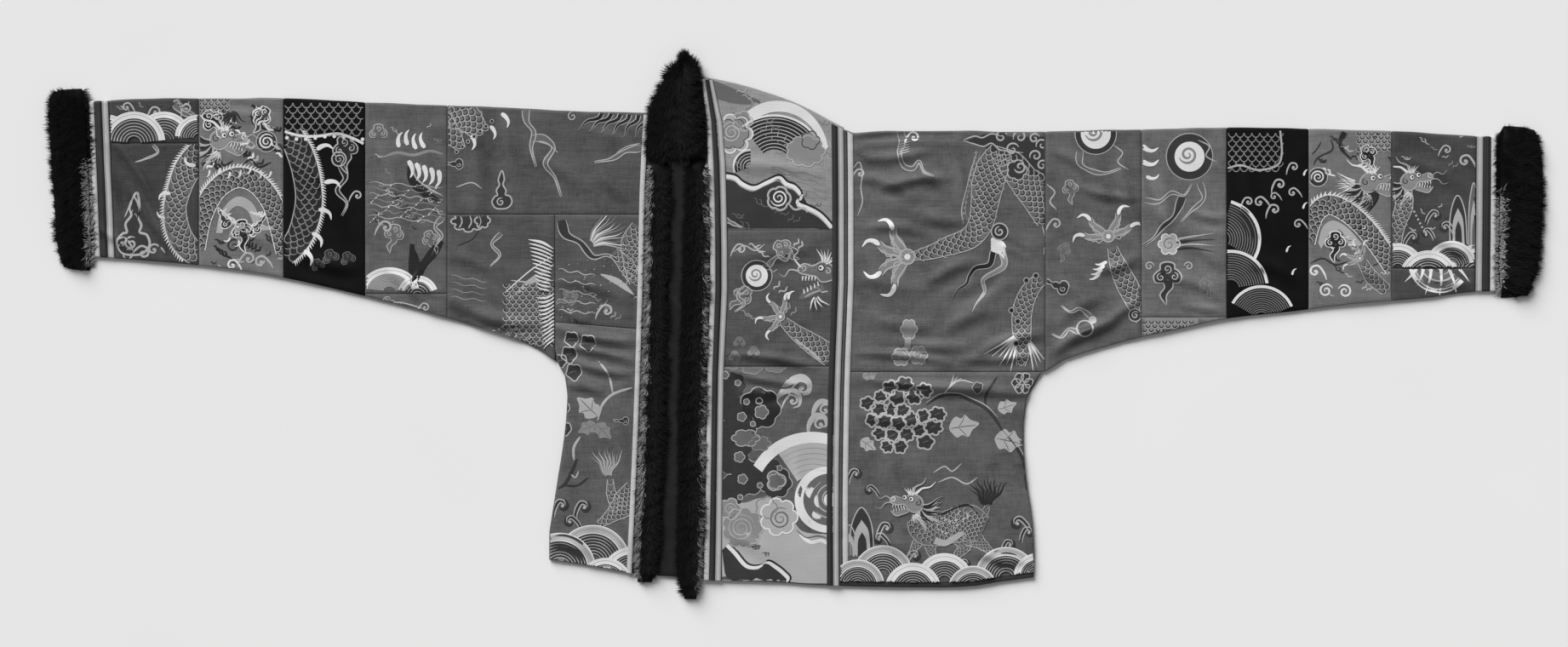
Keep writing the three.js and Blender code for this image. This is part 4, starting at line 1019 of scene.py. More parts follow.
    def scale_field(self, x0, x1, y0, y1, pitch, ring="light", rim="dark", ground=None, turn=0.0, fade=0.0):
        """Rows of scales over an oblong, pointing down unless they are turned."""
        rows = np.arange(y0, y1, 0.62 * pitch)
        columns = np.arange(x0, x1, pitch)
        row, column = np.meshgrid(np.arange(len(rows)), np.arange(len(columns)), indexing="ij")
        centres = np.stack([columns[column] + 0.5 * pitch * (row % 2), rows[row]], -1).reshape(-1, 2)
        if ground:
            u, v = np.meshgrid(np.linspace(x0, x1, 2 + int((x1 - x0) / 4)), np.linspace(y0, y1,
                    2 + int((y1 - y0) / 4)))
            self.patches(np.stack([u, v], -1)[None], 0.2, ground)
        keep = ((centres[:, 0] * 12.9 + centres[:, 1] * 78.2) % 1.0) >= fade
        centres = centres[keep]
        way = np.radians(turn - 90)
        ahead = np.tile([np.cos(way), np.sin(way)], (len(centres), 1))
        self.scales(centres, ahead, pitch, ring, rim)

    def wisps(self, x0, x1, y0, y1, count, length=12.0, shades=("light", "dark", "grey"), width=1.5,
              turn=0.0):
        """Short waving strokes spread evenly but not in rows over an oblong."""
        for k in range(count):
            x, y = x0 + (x1 - x0) * ((k * 0.618 + 0.11) % 1), y0 + (y1 - y0) * ((k * 0.755 + 0.31) % 1)
            a = np.radians(turn + 50 * np.sin(2.3 * k))
            reach = length * (0.7 + 0.5 * ((k * 0.37) % 1))
            self.line(wavy((x, y), (x + reach * np.cos(a), y + reach * np.sin(a)), 1.3, 0.14 * length),
                      width, shades[k % len(shades)],
                      0.34, "both")

    def claw(self, x, y, length, turn, bend=0.5, shade="white", width=0.36):
        """A curved claw, broad at its root."""
        f = self.moved(x, y, length / 10, turn)
        f.line([(0, 0), (4, 2.4 * bend), (8, 2.0 * bend), (11, -2.5 * bend)], 10 * width, shade, 0.52, "horn")

    def foot(self, x, y, size, turn=0.0, toes=((62, 1), (22, 1), (-24, -1), (-62, -1)), palm=True):
        """A dragon's foot: toes that spread from the palm, edged in light with a frilled back,
        each with a white claw that hooks inwards."""
        f = self.moved(x, y, size / 30, turn)
        for angle, hand in toes:
            a = np.radians(angle)
            d, n = np.array([np.cos(a), np.sin(a)]), np.array([-np.sin(a), np.cos(a)]) * hand
            path = np.array([d * 2, d * 10 + n * 1.2, d * 19 + n * 3.2, d * 26 + n * 1.5])
            f.line(path, 8.5, "grey", 0.26, "belly")
            f.line(path + n * 3.0, 1.3, "light", 0.42)
            f.line(path - n * 2.6, 1.3, "light", 0.42)
            frill = [path[0] + n * 4]
            for k in range(6):
                frill.append(d * (6 + 3.2 * k) + n * (5.2 + (2.2 if k % 2 else 0.0) + 1.2 * np.sin(k)))
            f.line(frill, 1.1, "light", 0.4)
            tip = d * 25 + n * 2
            f.claw(tip[0], tip[1], 13, angle + 24 * hand, -0.9 * hand)
        if palm:
            f.disc(0, 0, 6.2, "grey", 0.34, "light", 1.3)
            f.disc(0, 0, 2.6, "white", 0.5)

    def leaf(self, x, y, length, turn=0.0, shade="light"):
        """A leaf of five points with its veins."""
        f = self.moved(x, y, length / 30, turn)
        f.shape([(0, 0), (2, 6), (7, 11), (12, 9), (16, 12), (21, 7), (29, 3), (22, -3), (18, -9), (12, -7),
                 (7, -9), (2, -4)],
                shade, 0.3, None, middle=(12, 1))
        f.line([(1, 0), (12, 1), (26, 1.6)], 1.0, "dim", 0.46)
        f.line([(9, 1), (13, 6), (15, 11)], 0.8, "dim", 0.46)
        f.line([(9, 0), (13, -4), (16, -8)], 0.8, "dim", 0.46)

    def petal(self, x, y, radius, turn=0.0, edge="white", ground="dark", width=1.9):
        """A dark petal, narrow at its root, with a frilled light edge."""
        f = self.moved(x, y, radius / 10, turn)
        a = np.radians(np.linspace(-112, 112, 19))
        r = 9.4 + 1.5 * np.abs(np.sin(2.6 * a)) + 0.9 * np.sin(3.0 * a + turn)
        outline = np.stack([r * np.cos(a) * 0.92, r * np.sin(a)], -1)
        f.shape(np.vstack([outline, [-7.5, 5], [-10.5, 0], [-7.5, -5]]), ground, 0.28, edge,
                width * 0.8 * 10 / radius)
        f.line([(-8, 0), (-2, 0.8), (4, 0)], 1.0, "dim", 0.42)

    def peony(self, places, radius):
        """Open peony: lobed dark petals with light edges, set close together."""
        for k, (x, y) in enumerate(places):
            reach = radius * (1 + 0.1 * np.sin(2.7 * k))
            self.lobed(x, y, reach * 1.08, 5 + k % 3, 0.17, "dark", 0.28, "light", 2.2,
                       (1 + 0.14 * np.sin(1.9 * k), 0.96), 25 * k)
            self.line([(x - 4, y - 1), (x, y + 0.6), (x + 4, y + 2)], 0.9, "dim", 0.42)

    def rock(self, x, y, width, height, ground="dark", edge="light", nested=3):
        """A pointed rock: peaked bands one inside the other."""
        for k in range(nested):
            s = 1 - 0.3 * k
            w, h = width * s / 2, height * (1 - 0.26 * k)
            points = [(x - w, y), (x - w * 0.92, y + h * 0.62), (x - 0.1 * w, y + h),
                      (x + w * 0.75, y + h * 0.66), (x + w, y)]
            self.area(points[:3], points[:1:-1], (ground, edge, ground)[k % 3], 0.26 + 0.08 * k, 4)
            if k == 0:
                self.line(points, 1.5, edge, 0.5, "none")

    def head(self, x, y, size, turn=0.0, mirror=False):
        """A dragon's head from the side in plain forms: brow and snout, open jaw with teeth, round
        eyes, beard, whiskers, horns and a dark mane."""
        f = self.moved(x, y, size / 60, turn, mirror)
        f.hair(-16, -8, 44, 150, 262, 9, 5.5, ("black", "dark", "light"), 0.8, 3, "light")
        f.shape([(-20, -10), (-22, 4), (-12, 14), (2, 13), (12, 9), (24, 12), (31, 8), (30, 1), (20, -2),
                 (8, -2), (2, -10), (-8, -15)],
                "grey", 0.3, "light", 1.8, middle=(-2, 2))
        f.area([(2, -7), (12, -10), (24, -14), (30, -10)], [(0, -14), (10, -17), (22, -20), (31, -12)],
               "grey", 0.3, 3)
        f.line([(0, -14), (10, -17.5), (22, -20.5), (31, -12)], 1.6, "light", 0.46)
        for k in range(5):
            f.claw(9 + 4.4 * k, -3 + 0.4 * k, 5.4, -84, 0.2)
            f.claw(8 + 4.4 * k, -10 - 0.9 * k, 5, 84, 0.2)
        f.spiral(27, 8, 4.6, 1.2, 1.6, "white", 300, -1, 0.5)
        for ex, ey in ((-3, 7), (8, 10)):
            f.disc(ex, ey, 4.4, "white", 0.46, "dark", 1.2)
            f.disc(ex + 0.9, ey, 1.9, "black", 0.58)
        f.hair(-2, 12, 17, 40, 150, 6, 3.0, ("white",), 0.5, 1)
        f.hair(-8, -16, 20, 200, 292, 6, 3.4, ("white", "light"), 0.6, 1.4)
        f.line([(29, 5), (38, 12), (48, 8), (56, 16)], 2.0, "light", 0.5, "tip")
        f.line([(29, 2), (40, 0), (47, -8), (58, -6)], 2.0, "light", 0.5, "tip")
        f.line([(-10, 14), (-20, 24), (-34, 27), (-44, 36)], 4.2, "white", 0.5, "horn")
        f.line([(-2, 15), (-10, 27), (-22, 33), (-28, 43)], 3.8, "light", 0.5, "horn")
        f.spiral(-14, 1, 5.6, 1.3, 1.6, "dark", 90, 1, 0.5)

    def beast(self, x, y, size, mirror=False):
        """A striding scaled beast with cloven feet, flame tail, two horns and a beard."""
        f = self.moved(x, y, size / 100, 0, mirror)
        f.hair(66, 28, 50, 48, 136, 12, 5.0, ("black", "dark"), 1.4, 2.2)
        f.scaled([(50, -2), (60, 12), (65, 30)], [16, 11, 8], 6)
        for path, widths in (([(40, -18), (56, -30), (70, -42), (82, -56)], [34, 18, 10, 8]),
                             ([(26, -22), (28, -36), (16, -50), (10, -66)], [32, 18, 10, 8]),
                             ([(-34, -18), (-46, -30), (-54, -44), (-64, -58)], [26, 15, 9, 8]),
                             ([(-24, -24), (-24, -40), (-18, -54), (-14, -68)], [26, 15, 9, 8])):
            f.scaled(path, widths, 6)
            f.disc(path[-1][0], path[-1][1], 5.6, "black", 0.5, "light", 1.2)
        f = f.moved(0, 0, over=0.4)
        f.scaled([(60, -8), (36, 2), (10, -2), (-14, -8), (-36, -2), (-46, 14)], [40, 60, 54, 50, 54, 34],
                 8.4)
        f.line([(52, 16), (36, 31), (12, 26), (-4, 18), (-24, 20), (-34, 32)], 3.6, "black", 0.5)
        f.wisps(-30, 30, -12, 14, 9, 26, ("light",), 3.4, 40)
        f.area([(-20, -30), (-2, -34), (14, -26), (30, -14)], [(-16, -20), (-2, -24), (8, -18), (24, -10)],
               "light", 0.5, 3)
        f.moved(-58, 34, over=0.5).head(0, 0, 58, 0, True)


def work(panel, figures):
    """Lays the figures on a piece's front as one object, without the faces that reach past its
    seams: each point's height is the front's plus its lift, turned down at the seams."""
    outline = PIECES[panel][1]
    shifts = np.cumsum([0] + [len(s[0]) for s in figures.store[:-1]])
    points = np.concatenate([s[0] for s in figures.store])
    lift = np.concatenate([s[1] for s in figures.store])
    faces = np.concatenate([s[2] + n for s, n in zip(figures.store, shifts)])
    slots = np.concatenate([np.full(len(s[2]), s[3]) for s in figures.store])
    x, y = points.T
    inside = outline.holds(x, y, SEAM_MARGIN)
    keep = inside[faces].all(1)
    faces, slots = faces[keep], slots[keep]
    corner = points[faces]
    twice = np.sum([np.cross(corner[:, k], corner[:, (k + 1) % 4]) for k in range(4)], axis=0)
    faces = np.where((twice < 0)[:, None], faces[:, ::-1], faces)
    keep = np.abs(twice) > 1e-4
    faces, slots = faces[keep], slots[keep]
    used, faces = np.unique(faces, return_inverse=True)
    faces = faces.reshape(-1, 4)
    x, y = x[used], y[used]
    z = front_height(x, y) + lift[used] - roll_down(x, y, outline)
    piece = mesh_piece(panel + "_figures", np.stack([x, y, z], -1), faces, THREAD_MATERIALS, slots)
    return piece


# ------------------------------------------------------------------ the figures on each piece

# left sleeve, cuff piece: wave hills on top, a scaled body beside them
f = Figures()
f.hills(((-872, 240, 30), (-800, 238, 36), (-756, 240, 30), (-838, 234, 40)), 6, 174, 6, 0.2)
f.curl(-812, 274, 7, 10)
f.curl(-772, 278, 6, 20)
f.streamer([(-786, 284), (-778, 274), (-766, 268), (-758, 262)], 8)
f.curl(-846, 280, 6, 0, True)
f.wisps(-866, -770, 276, 288, 9, 9)
f.line([(-788, 292), (-776, 278), (-764, 270), (-757, 262)], 7, "grey", 0.3, "none")
for k in range(14):
    f.disc(-786 + 2.2 * k, 286 - 1.7 * k + 2 * (k % 2), 1.0, "black", 0.42)
work("left_sleeve_1", f)

f = Figures()
f.scaled([(-748, 226), (-768, 204), (-779, 180), (-786, 150), (-780, 118), (-764, 96), (-748, 88)],
         [34, 34, 30, 28, 30, 30, 26], 9.5, spines=6, spine_side=-1)
f.flame(-838, 114, 36)
f.line([(-838, 168), (-833, 156), (-840, 148), (-832, 140)], 2.4, "light")
f.line([(-842, 162), (-846, 150), (-850, 140)], 1.6, "light")
f.curl(-852, 108, 8, 0, True)
f.curl(-828, 96, 9, -10)
f.curl(-812, 100, 7, 20, True)
f.spiral(-845, 92, 8, 1.5, 1.8, "light", 60)
f.streamer([(-814, 232), (-808, 222), (-824, 214), (-836, 210)], 3)
f.claw(-760, 206, 16, 150, 0.8)
f.claw(-792, 170, 15, 200, -0.8)
f.claw(-795, 140, 14, 160, 0.7)
work("left_sleeve_1_scroll", f)

# left sleeve, pale piece: dragon's head above its arched body
f = Figures()
f.moved(-722, 238).head(0, 0, 52, -6)
f.hair(-716, 276, 26, 200, 330, 9, 3, ("black", "dark"), 1, 2)
f.scale_field(-756, -716, 276, 292, 8, ground="grey")
f.disc(-670, 236, 13, "dark", 0.24, "light", 1.2)
f.spiral(-670, 236, 10, 2.1, 2.1, "white", 40)
f.hair(-684, 256, 22, 20, 120, 6, 3, ("white", "dark"), 1, 2)
f.scaled([(-760, 100), (-752, 140), (-736, 172), (-710, 190), (-684, 184), (-664, 160), (-654, 130),
          (-646, 96)],
         [24, 25, 26, 26, 26, 26, 25, 24], 9.0, "dim", "light", "black", "white", 6, 1)
f.area([(-734, 120), (-728, 146), (-708, 166), (-688, 158), (-676, 132)], [(-726, 120), (-720, 142),
        (-708, 154), (-694, 148), (-686, 130)], "light", 0.24)
f.moved(-706, 128).foot(0, 0, 20, -60)
f.spiral(-712, 104, 9, 1.4, 2.2, "dark", 30)
f.curl(-694, 88, 8, 0)
f.curl(-676, 84, 8, 10, True)
f.curl(-712, 80, 7, 0, True, "white")
f.line([(-742, 206), (-730, 214), (-724, 206), (-712, 212)], 2.4, "black")
f.line([(-700, 206), (-690, 214), (-680, 204), (-664, 210)], 2.4, "black")
f.wisps(-752, -656, 200, 284, 56, 14, ("black", "dark", "white", "black", "light"), 3.0)
f.wisps(-740, -664, 92, 148, 36, 12, ("dark", "black", "white", "light"), 2.6)
f.wisps(-752, -652, 78, 92, 8, 11, ("dark", "light"), 1.8)
f.cloud(-738, 262, 15, 40, False, "black", "white")
f.cloud(-676, 268, 13, -30, True, "dark", "white")
f.cloud(-700, 122, 15, 10, False, "black", "white")
f.flame(-722, 134, 13, 30, False, "dark", "white")
f.flame(-682, 128, 12, -40, True, "dark", "white")
for k in range(7):
    f.claw(-742 + 13 * k, 200 + 3 * np.sin(2.0 * k), 9, 250 + 14 * np.sin(3.0 * k), 0.5)
work("left_sleeve_2", f)

# left sleeve, black piece: scales at the top, a scaled arc with beads and claws
f = Figures()
f.scale_field(-648, -546, 250, 292, 11.5, "grey", None)
f.line([(-650, 250), (-630, 244), (-606, 243), (-580, 246), (-560, 240), (-544, 232)], 3.4, "white", 0.5,
       "none")
for k in range(9):
    f.disc(-644 + 12 * k, 241 - 2 * np.sin(k), 2.4, "white", 0.5)
f.scaled([(-640, 246), (-628, 222), (-620, 196), (-616, 166), (-620, 138), (-630, 112), (-648, 92)],
         [30, 33, 34, 34, 34, 32, 30], 10.5, "black", "grey", None, "light", 6, 1)
for x, y, turn in ((-606, 226, 10), (-596, 184, -10), (-604, 150, -30), (-612, 120, -50), (-622, 98, -60)):
    f.claw(x, y, 19, turn, 0.7)
f.disc(-578, 214, 9, "black", 0.3, "light", 1.8)
f.spiral(-578, 214, 6, 1.4, 1.8, "light", 0)
f.cloud(-570, 226, 17, 8, False, "black", "light")
f.streamer([(-576, 206), (-570, 190), (-580, 174), (-568, 158), (-574, 142)], 7, "black")
for x, y, r in ((-588, 88, 11), (-566, 86, 10), (-604, 78, 9)):
    f.cloud(x, y, r, 20, False, "black", "dim", False)
f.curl(-556, 168, 6, 0)
work("left_sleeve_3", f)

# left sleeve, next to the yoke: claws, speckled ground, waving lines, forked rock and arch
f = Figures()
for k in range(4):
    f.claw(-502 + 11 * k, 229 + 3 * np.sin(2.0 * k), 18, 82 + 8 * k, 0.5)
for k in range(5):
    f.claw(-490 + 9.5 * k, 212 - 3 * k, 20, -78 - 4 * k, 0.5)
f.line([(-522, 216), (-504, 222), (-484, 219), (-462, 224), (-446, 220)], 4, "grey", 0.34)
f.line([(-490, 206), (-486, 188), (-470, 172), (-448, 160)], 11, "black", 0.34, "belly")
f.line([(-486, 208), (-480, 190), (-464, 177), (-446, 167)], 2, "light", 0.5)
for k in range(7):
    f.line(wavy((-540, 184 - 7 * k), (-446, 178 - 7.5 * k), 3 + k % 3, 1.8), 1.2, ("light", "grey")[k % 2],
           0.36)
for k in range(60):
    f.disc(-538 + (k * 37) % 92, 134 + (k * 53) % 48, 1.1, ("light", "grey", "white")[k % 3], 0.4)
f.curl(-520, 128, 8, 0, False)
f.cloud(-528, 246, 12, 0, False, "dim", "light", False)
f.wisps(-538, -450, 196, 264, 12, 10, ("light", "grey"), 1.1)
f.wisps(-538, -450, 128, 180, 40, 9, ("light", "grey", "dark"), 1.4)
f.cloud(-508, 118, 13, -10, False, "dim", "light")
f.cloud(-462, 112, 11, 20, True, "dim", "light")
f.streamer([(-446, 140), (-456, 128), (-448, 116), (-458, 102)], 6)
f.area([(-486, 108), (-484, 80), (-486, 56), (-486, 44)], [(-478, 92), (-473, 76), (-466, 96), (-452, 112)],
       "black", 0.36)
f.line([(-487, 50), (-487, 80), (-485, 106)], 6, "black", 0.4, "none")
f.line([(-480, 54), (-470, 78), (-456, 94), (-448, 110)], 6, "black", 0.4, "none")
f.hill(-514, 46, 38, 8, 172, 7, 0.24, "grey", 0.8, "light")
f.hill(-478, 40, 26, 20, 160, 4, 0.26)
work("left_sleeve_4", f)

f = Figures()
f.cloud(-516, 30, 10, 100, False, "dim", "light")
f.line([(-540, 36), (-520, 30), (-500, 32), (-470, 24)], 1.6, "light")
f.curl(-470, 26, 6, 0)
work("left_sleeve_4_gusset", f)

# left yoke: scaled corner with claws, flame, streamers and locks of hair
f = Figures()
f.scaled([(-452, 282), (-418, 268), (-398, 246)], [46, 40, 22], 9.5)
f.scaled([(-452, 262), (-432, 240), (-422, 226)], [40, 26, 10], 9.5)
for k in range(7):
    f.disc(-384 - 7.5 * k, 262 - 6.5 * k, 2.3, "black", 0.5, "light", 0.9)
f.claw(-372, 272, 18, -60, 0.6)
f.claw(-386, 256, 16, -70, 0.6)
f.claw(-410, 244, 17, -80, 0.6)
f.flame(-428, 208, 12, 90)
f.streamer([(-341, 281), (-340, 262), (-331, 248), (-334, 228), (-328, 204)], 8)
f.streamer([(-334, 240), (-318, 240), (-306, 228), (-316, 208), (-304, 190), (-296, 166)], 8)
f.line([(-326, 236), (-312, 232), (-300, 222)], 1.4, "light")
f.flame(-371, 164, 22, 4)
for k in range(6):
    lock = wavy((-244 + 11.5 * k, 272 - 0.6 * k), (-277 + 14.5 * k, 251 - 2.2 * k), 1.3, 2.6)
    f.line(lock, 7.4, "light", 0.36, "tip")
    f.line(lock, 4.6, "black", 0.48, "tip")
f.streamer([(-194, 228), (-214, 224), (-232, 214), (-254, 210)], 8)
f.line([(-196, 234), (-212, 230), (-226, 222)], 1.3, "light")
f.line([(-430, 178), (-410, 184), (-396, 176)], 1.6, "light", 0.4)
f.spiral(-282, 268, 6, 1.3, 1.5, "light", 90)
work("left_yoke", f)

# left yoke, side piece: dark flower, fan of hair and a scaled corner
f = Figures()
f.lobed(-414, 135, 17, 8, 0.14, "dark", 0.26, "light", 2.0, (1.3, 0.8))
f.lobed(-396, 136, 10, 6, 0.14, "dark", 0.5, "light", 2.0)
for x in (-426, -414, -402):
    f.line([(x, 126), (x + 4, 134), (x + 2, 142)], 1.8, "light", 0.6)
f.line([(-400, 124), (-410, 112), (-428, 104)], 1.6, "dark")
f.scale_field(-366, -306, -18, 56, 8.5, ground="dim")
for k in range(13):      # a wing of quills in two rows, white with black between
    f.line([(-306 - 0.4 * k, 100 - 4.4 * k), (-320, 108 - 4.9 * k), (-338 + 0.9 * k, 112 - 5.0 * k)], 3.6,
           "white", 0.48, "belly")
    f.line([(-306 - 0.4 * k, 97.8 - 4.4 * k), (-322, 105 - 4.9 * k), (-336 + 0.9 * k, 109 - 5.0 * k)], 1.6,
           "black", 0.52)
    f.line([(-304, 44 - 4.8 * k), (-314, 38 - 5.0 * k), (-328 + 0.8 * k, 38 - 5.4 * k)], 3.4, "white", 0.48,
           "belly")
    f.line([(-304, 41.6 - 4.8 * k), (-316, 35.4 - 5.0 * k), (-326 + 0.8 * k, 35 - 5.4 * k)], 1.6, "black",
           0.52)
f.line([(-306, 80), (-330, 62), (-364, 36)], 8, "light", 0.34, "belly")
f.line([(-306, 92), (-336, 72), (-368, 44)], 1.6, "white", 0.5)
f.line([(-360, 60), (-338, 58), (-306, 60)], 2.2, "light", 0.5)
for k in range(9):
    f.line(wavy((-352 + 3 * k, 8 - 3 * k), (-384 + 5 * k, -4 - 3.4 * k), 1.6, 1.8), 1.6,
           ("light", "black")[k % 2], 0.4)
f.curl(-300, -12, 9, 180)
for k in range(4):
    f.line(wavy((-436, 66 - 9 * k), (-390, 58 - 8 * k), 2, 1.5), 1.2, "grey", 0.34)
f.streamer([(-372, 120), (-384, 106), (-374, 92), (-386, 78)], 5)
work("left_yoke_side", f)

# left yoke, front piece: streamer, pale hair and scales
f = Figures()
f.streamer([(-296, 136), (-290, 118), (-272, 108), (-256, 90), (-238, 92), (-222, 84)], 11, "dark")
f.hair(-262, 104, 58, -6, 70, 12, 2.6, ("light", "white", "grey"), 0.9, 2.6)
f.scaled([(-196, 128), (-206, 108), (-204, 82), (-200, 56)], [22, 28, 26, 18], 8)
f.scaled([(-230, 96), (-214, 80), (-204, 62)], [12, 20, 16], 7.5)
f.line([(-246, 68), (-224, 58), (-204, 42)], 8, "light", 0.34, "belly")
for k in range(44):
    f.disc(-296 + (k * 29) % 66, 14 + (k * 47) % 74, 1.0, ("light", "grey")[k % 2], 0.38)
for k in range(5):
    f.line(wavy((-300, 74 - 13 * k), (-252, 66 - 12 * k), 2.5, 1.8), 1.2, "light", 0.36)
f.curl(-240, 22, 8, 0)
f.cloud(-286, 38, 11, -60, False, "dim", "grey")
f.wisps(-300, -200, 6, 60, 18, 12, ("light", "grey", "dark"), 1.2)
work("left_yoke_front", f)

# left front: dark petals, leaves, twig, a flame tail, waves at the hem
f = Figures()
for x, y, r in ((-283, -14, 9), (-262, -19, 10), (-286, -34, 10), (-297, -42, 8), (-280, -56, 10),
                (-292, -102, 7), (-291, -128, 8)):
    f.petal(x, y, r, 20, "light")
f.line([(-249, -42), (-236, -60), (-230, -86)], 2.6, "light", 0.4)
f.line([(-206, -76), (-230, -84), (-244, -98), (-250, -118)], 3.4, "light", 0.4)
f.leaf(-250, -112, 36, 132)
f.leaf(-252, -122, 26, 200, "grey")
f.leaf(-252, -122, 28, -50, "grey")
f.line([(-272, -138), (-280, -152), (-280, -168)], 3.4, "light", 0.4)
f.line([(-300, -204), (-290, -196), (-280, -176), (-276, -166)], 4.0, "dark", 0.42)
f.line([(-292, -200), (-276, -200), (-262, -190)], 2.6, "dark", 0.42)
f.line([(-284, -186), (-278, -190), (-274, -182)], 2.0, "light", 0.42)
f.hair(-236, -192, 42, 60, 128, 12, 3.0, ("light", "grey"), 1.4, 1.5)
f.scaled([(-234, -192), (-232, -212), (-222, -228)], [7, 12, 20], 7)
f.scaled([(-200, -208), (-218, -226), (-232, -238), (-248, -250)], [34, 34, 18, 8], 7)
f.flame(-216, -118, 9, 90)
for x, y, r, m in ((-296, -226, 8, False), (-268, -228, 8, False), (-284, -246, 7, True)):
    f.curl(x, y, r, 10, m, "light", "dark")
f.hills(((-256, -298, 48), (-206, -318, 40), (-298, -306, 46), (-240, -326, 34)), 6, 174, 7, 0.22,
        crests=("light", "white"))
work("left_front", f)

# inset, upper piece: crescent over dark water, clouds and a spiral cloud
f = Figures()
f.area([(-120, 320), (-98, 312), (-70, 300), (-44, 288)], [(-120, 292), (-98, 290), (-72, 284), (-44, 284)],
       "dim", 0.22)
a = np.radians(np.linspace(126, 12, 14))
ray = np.stack([np.cos(a), np.sin(a)], -1)
f.area(np.array([-22, 214]) + ray * [66, 74], np.array([-20, 208]) + ray * [58, 66], "white", 0.4, 4)
f.hill(-26, 204, 66, 36, 128, 9, 0.0, "black", inner=0.34)
f.hill(-56, 204, 22, 90, 200, 5, 0.0, "black", inner=0.2)
f.lobed(-78, 246, 25, 7, 0.14, "light", 0.3, "white", 2.0)
f.lobed(-78, 246, 20, 6, 0.12, "grey", 0.36, "dark", 1.0)
f.spiral(-80, 248, 14, 2.6, 1.7, "white", 20)
f.lobed(-66, 262, 13, 5, 0.12, "grey", 0.38, "light", 1.6)
f.spiral(-66, 262, 8, 1.6, 1.4, "dark", 0)
f.lobed(14, 224, 25, 9, 0.08, "grey", 0.42, "light", 1.4, (1, 0.8))
f.spiral(16, 222, 19, 3.2, 1.3, "light", 60)
f.lobed(20, 238, 12, 5, 0.12, "grey", 0.46, "dark", 1.2)
f.area([(-92, 192), (-68, 183), (-54, 178), (-35, 186), (-21, 191), (-12, 183), (8, 170), (20, 151),
        (34, 145), (50, 124)],
       [(-92, 126), (-70, 126), (-54, 126), (-35, 126), (-21, 126), (-10, 126), (4, 126), (16, 126),
        (28, 126), (44, 123)], "dark", 0.22, 10)
edge = [(-92, 193), (-76, 190), (-66, 182), (-52, 177), (-36, 184), (-20, 190), (-10, 182), (0, 178),
        (8, 168), (4, 158),
        (16, 152), (28, 146), (38, 138), (50, 124)]
f.line(edge, 5.0, "white", 0.4, "none")
f.line([(px + 1, py + 4) for px, py in edge], 2.6, "black", 0.42, "none")
f.line([(px - 1, py - 3.4) for px, py in edge], 1.2, "light", 0.44, "none")
f.lobed(-20, 164, 15, 5, 0.08, "dark", 0.3, "light", 2.6)
f.spiral(-20, 165, 11, 2.0, 2.6, "white", 200)
f.line([(-8, 158), (0, 150), (12, 152), (16, 146)], 2.6, "light", 0.46)
f.streamer([(-90, 138), (-78, 132), (-66, 127)], 6)
for k in range(5):
    f.line(wavy((-30, 204 - 3 * k), (40, 190 - 9 * k), 2 + k % 2, 1.8), 1.0, "grey", 0.32)
f.wisps(-90, 40, 196, 300, 40, 16, ("light", "grey"), 1.3)
f.wisps(-86, 30, 130, 170, 14, 14, ("dim",), 1.4)
work("inset_upper", f)

# inset, middle piece: pearl, head with whiskers, claws and leg
f = Figures()
f.pearl(-48, 66, 14)
f.streamer([(-34, 78), (-22, 90), (-10, 86), (-4, 98)], 6)
f.streamer([(-62, 52), (-72, 40), (-64, 30), (-76, 20)], 6)
f.line([(-78, 96), (-64, 104), (-50, 98), (-38, 106)], 1.8, "light")
f.curl(-70, 100, 7, 0)
h = f.moved(30, 70, 0.86, 0, True)
h.shape([(-24, -8), (-20, 10), (-6, 16), (8, 10), (20, 13), (29, 8), (28, 0), (14, -4), (4, -6), (-6, -14)],
        "dim", 0.3, "light", 2.0, middle=(-2, 2))
h.disc(-4, 7, 4.6, "white", 0.48, "dark", 1.4)
h.disc(-3, 7, 1.9, "black", 0.6)
h.hair(-8, 12, 26, 60, 160, 7, 3.4, ("white", "light"), 0.7, 1.6)
h.line([(26, 8), (36, 22), (30, 32), (44, 40)], 2.6, "white", 0.5, "tip")
h.line([(28, 2), (42, 4), (50, -6), (60, 0)], 2.6, "light", 0.5, "tip")
h.area([(-6, -16), (8, -20), (22, -28), (28, -36)], [(-10, -26), (4, -32), (16, -38), (28, -40)], "dim", 0.3,
       3)
h.spiral(22, 7, 5, 1.3, 1.8, "light", 300, -1, 0.5)
h.spiral(-14, 2, 5, 1.3, 1.8, "light", 60, 1, 0.5)
h.line([(-4, -26), (8, -30), (20, -36)], 1.8, "light", 0.46)
for k in range(5):
    h.claw(4 + 4.6 * k, -5, 7, -84, 0.2)
    h.claw(0 + 5.2 * k, -20 - 2.8 * k, 7, 80, 0.2)
h.hair(4, -34, 26, 210, 300, 7, 3.4, ("white", "dark"), 0.7, 1.6)
f.foot(-18, 14, 26, 150, ((78, 1), (30, 1), (-20, -1), (-70, -1)))
f.claw(-8, 36, 12, 60, 0.7)
f.scaled([(-14, 8), (2, -6), (22, -20), (46, -36)], [12, 20, 26, 28], 8.5)
f.line([(0, -14), (18, -28), (34, -42)], 4.2, "light", 0.44)
for x, y in ((-70, -20), (-52, -32), (-76, -38)):
    f.cloud(x, y, 8, 0, False, "dim", "grey", False)
f.wisps(-84, 26, 8, 116, 20, 15, ("light", "grey"), 2.0, 20)
f.cloud(-66, 40, 13, -40, False, "dim", "light")
f.cloud(-14, 100, 13, 60, False, "dim", "light")
work("inset_middle", f)

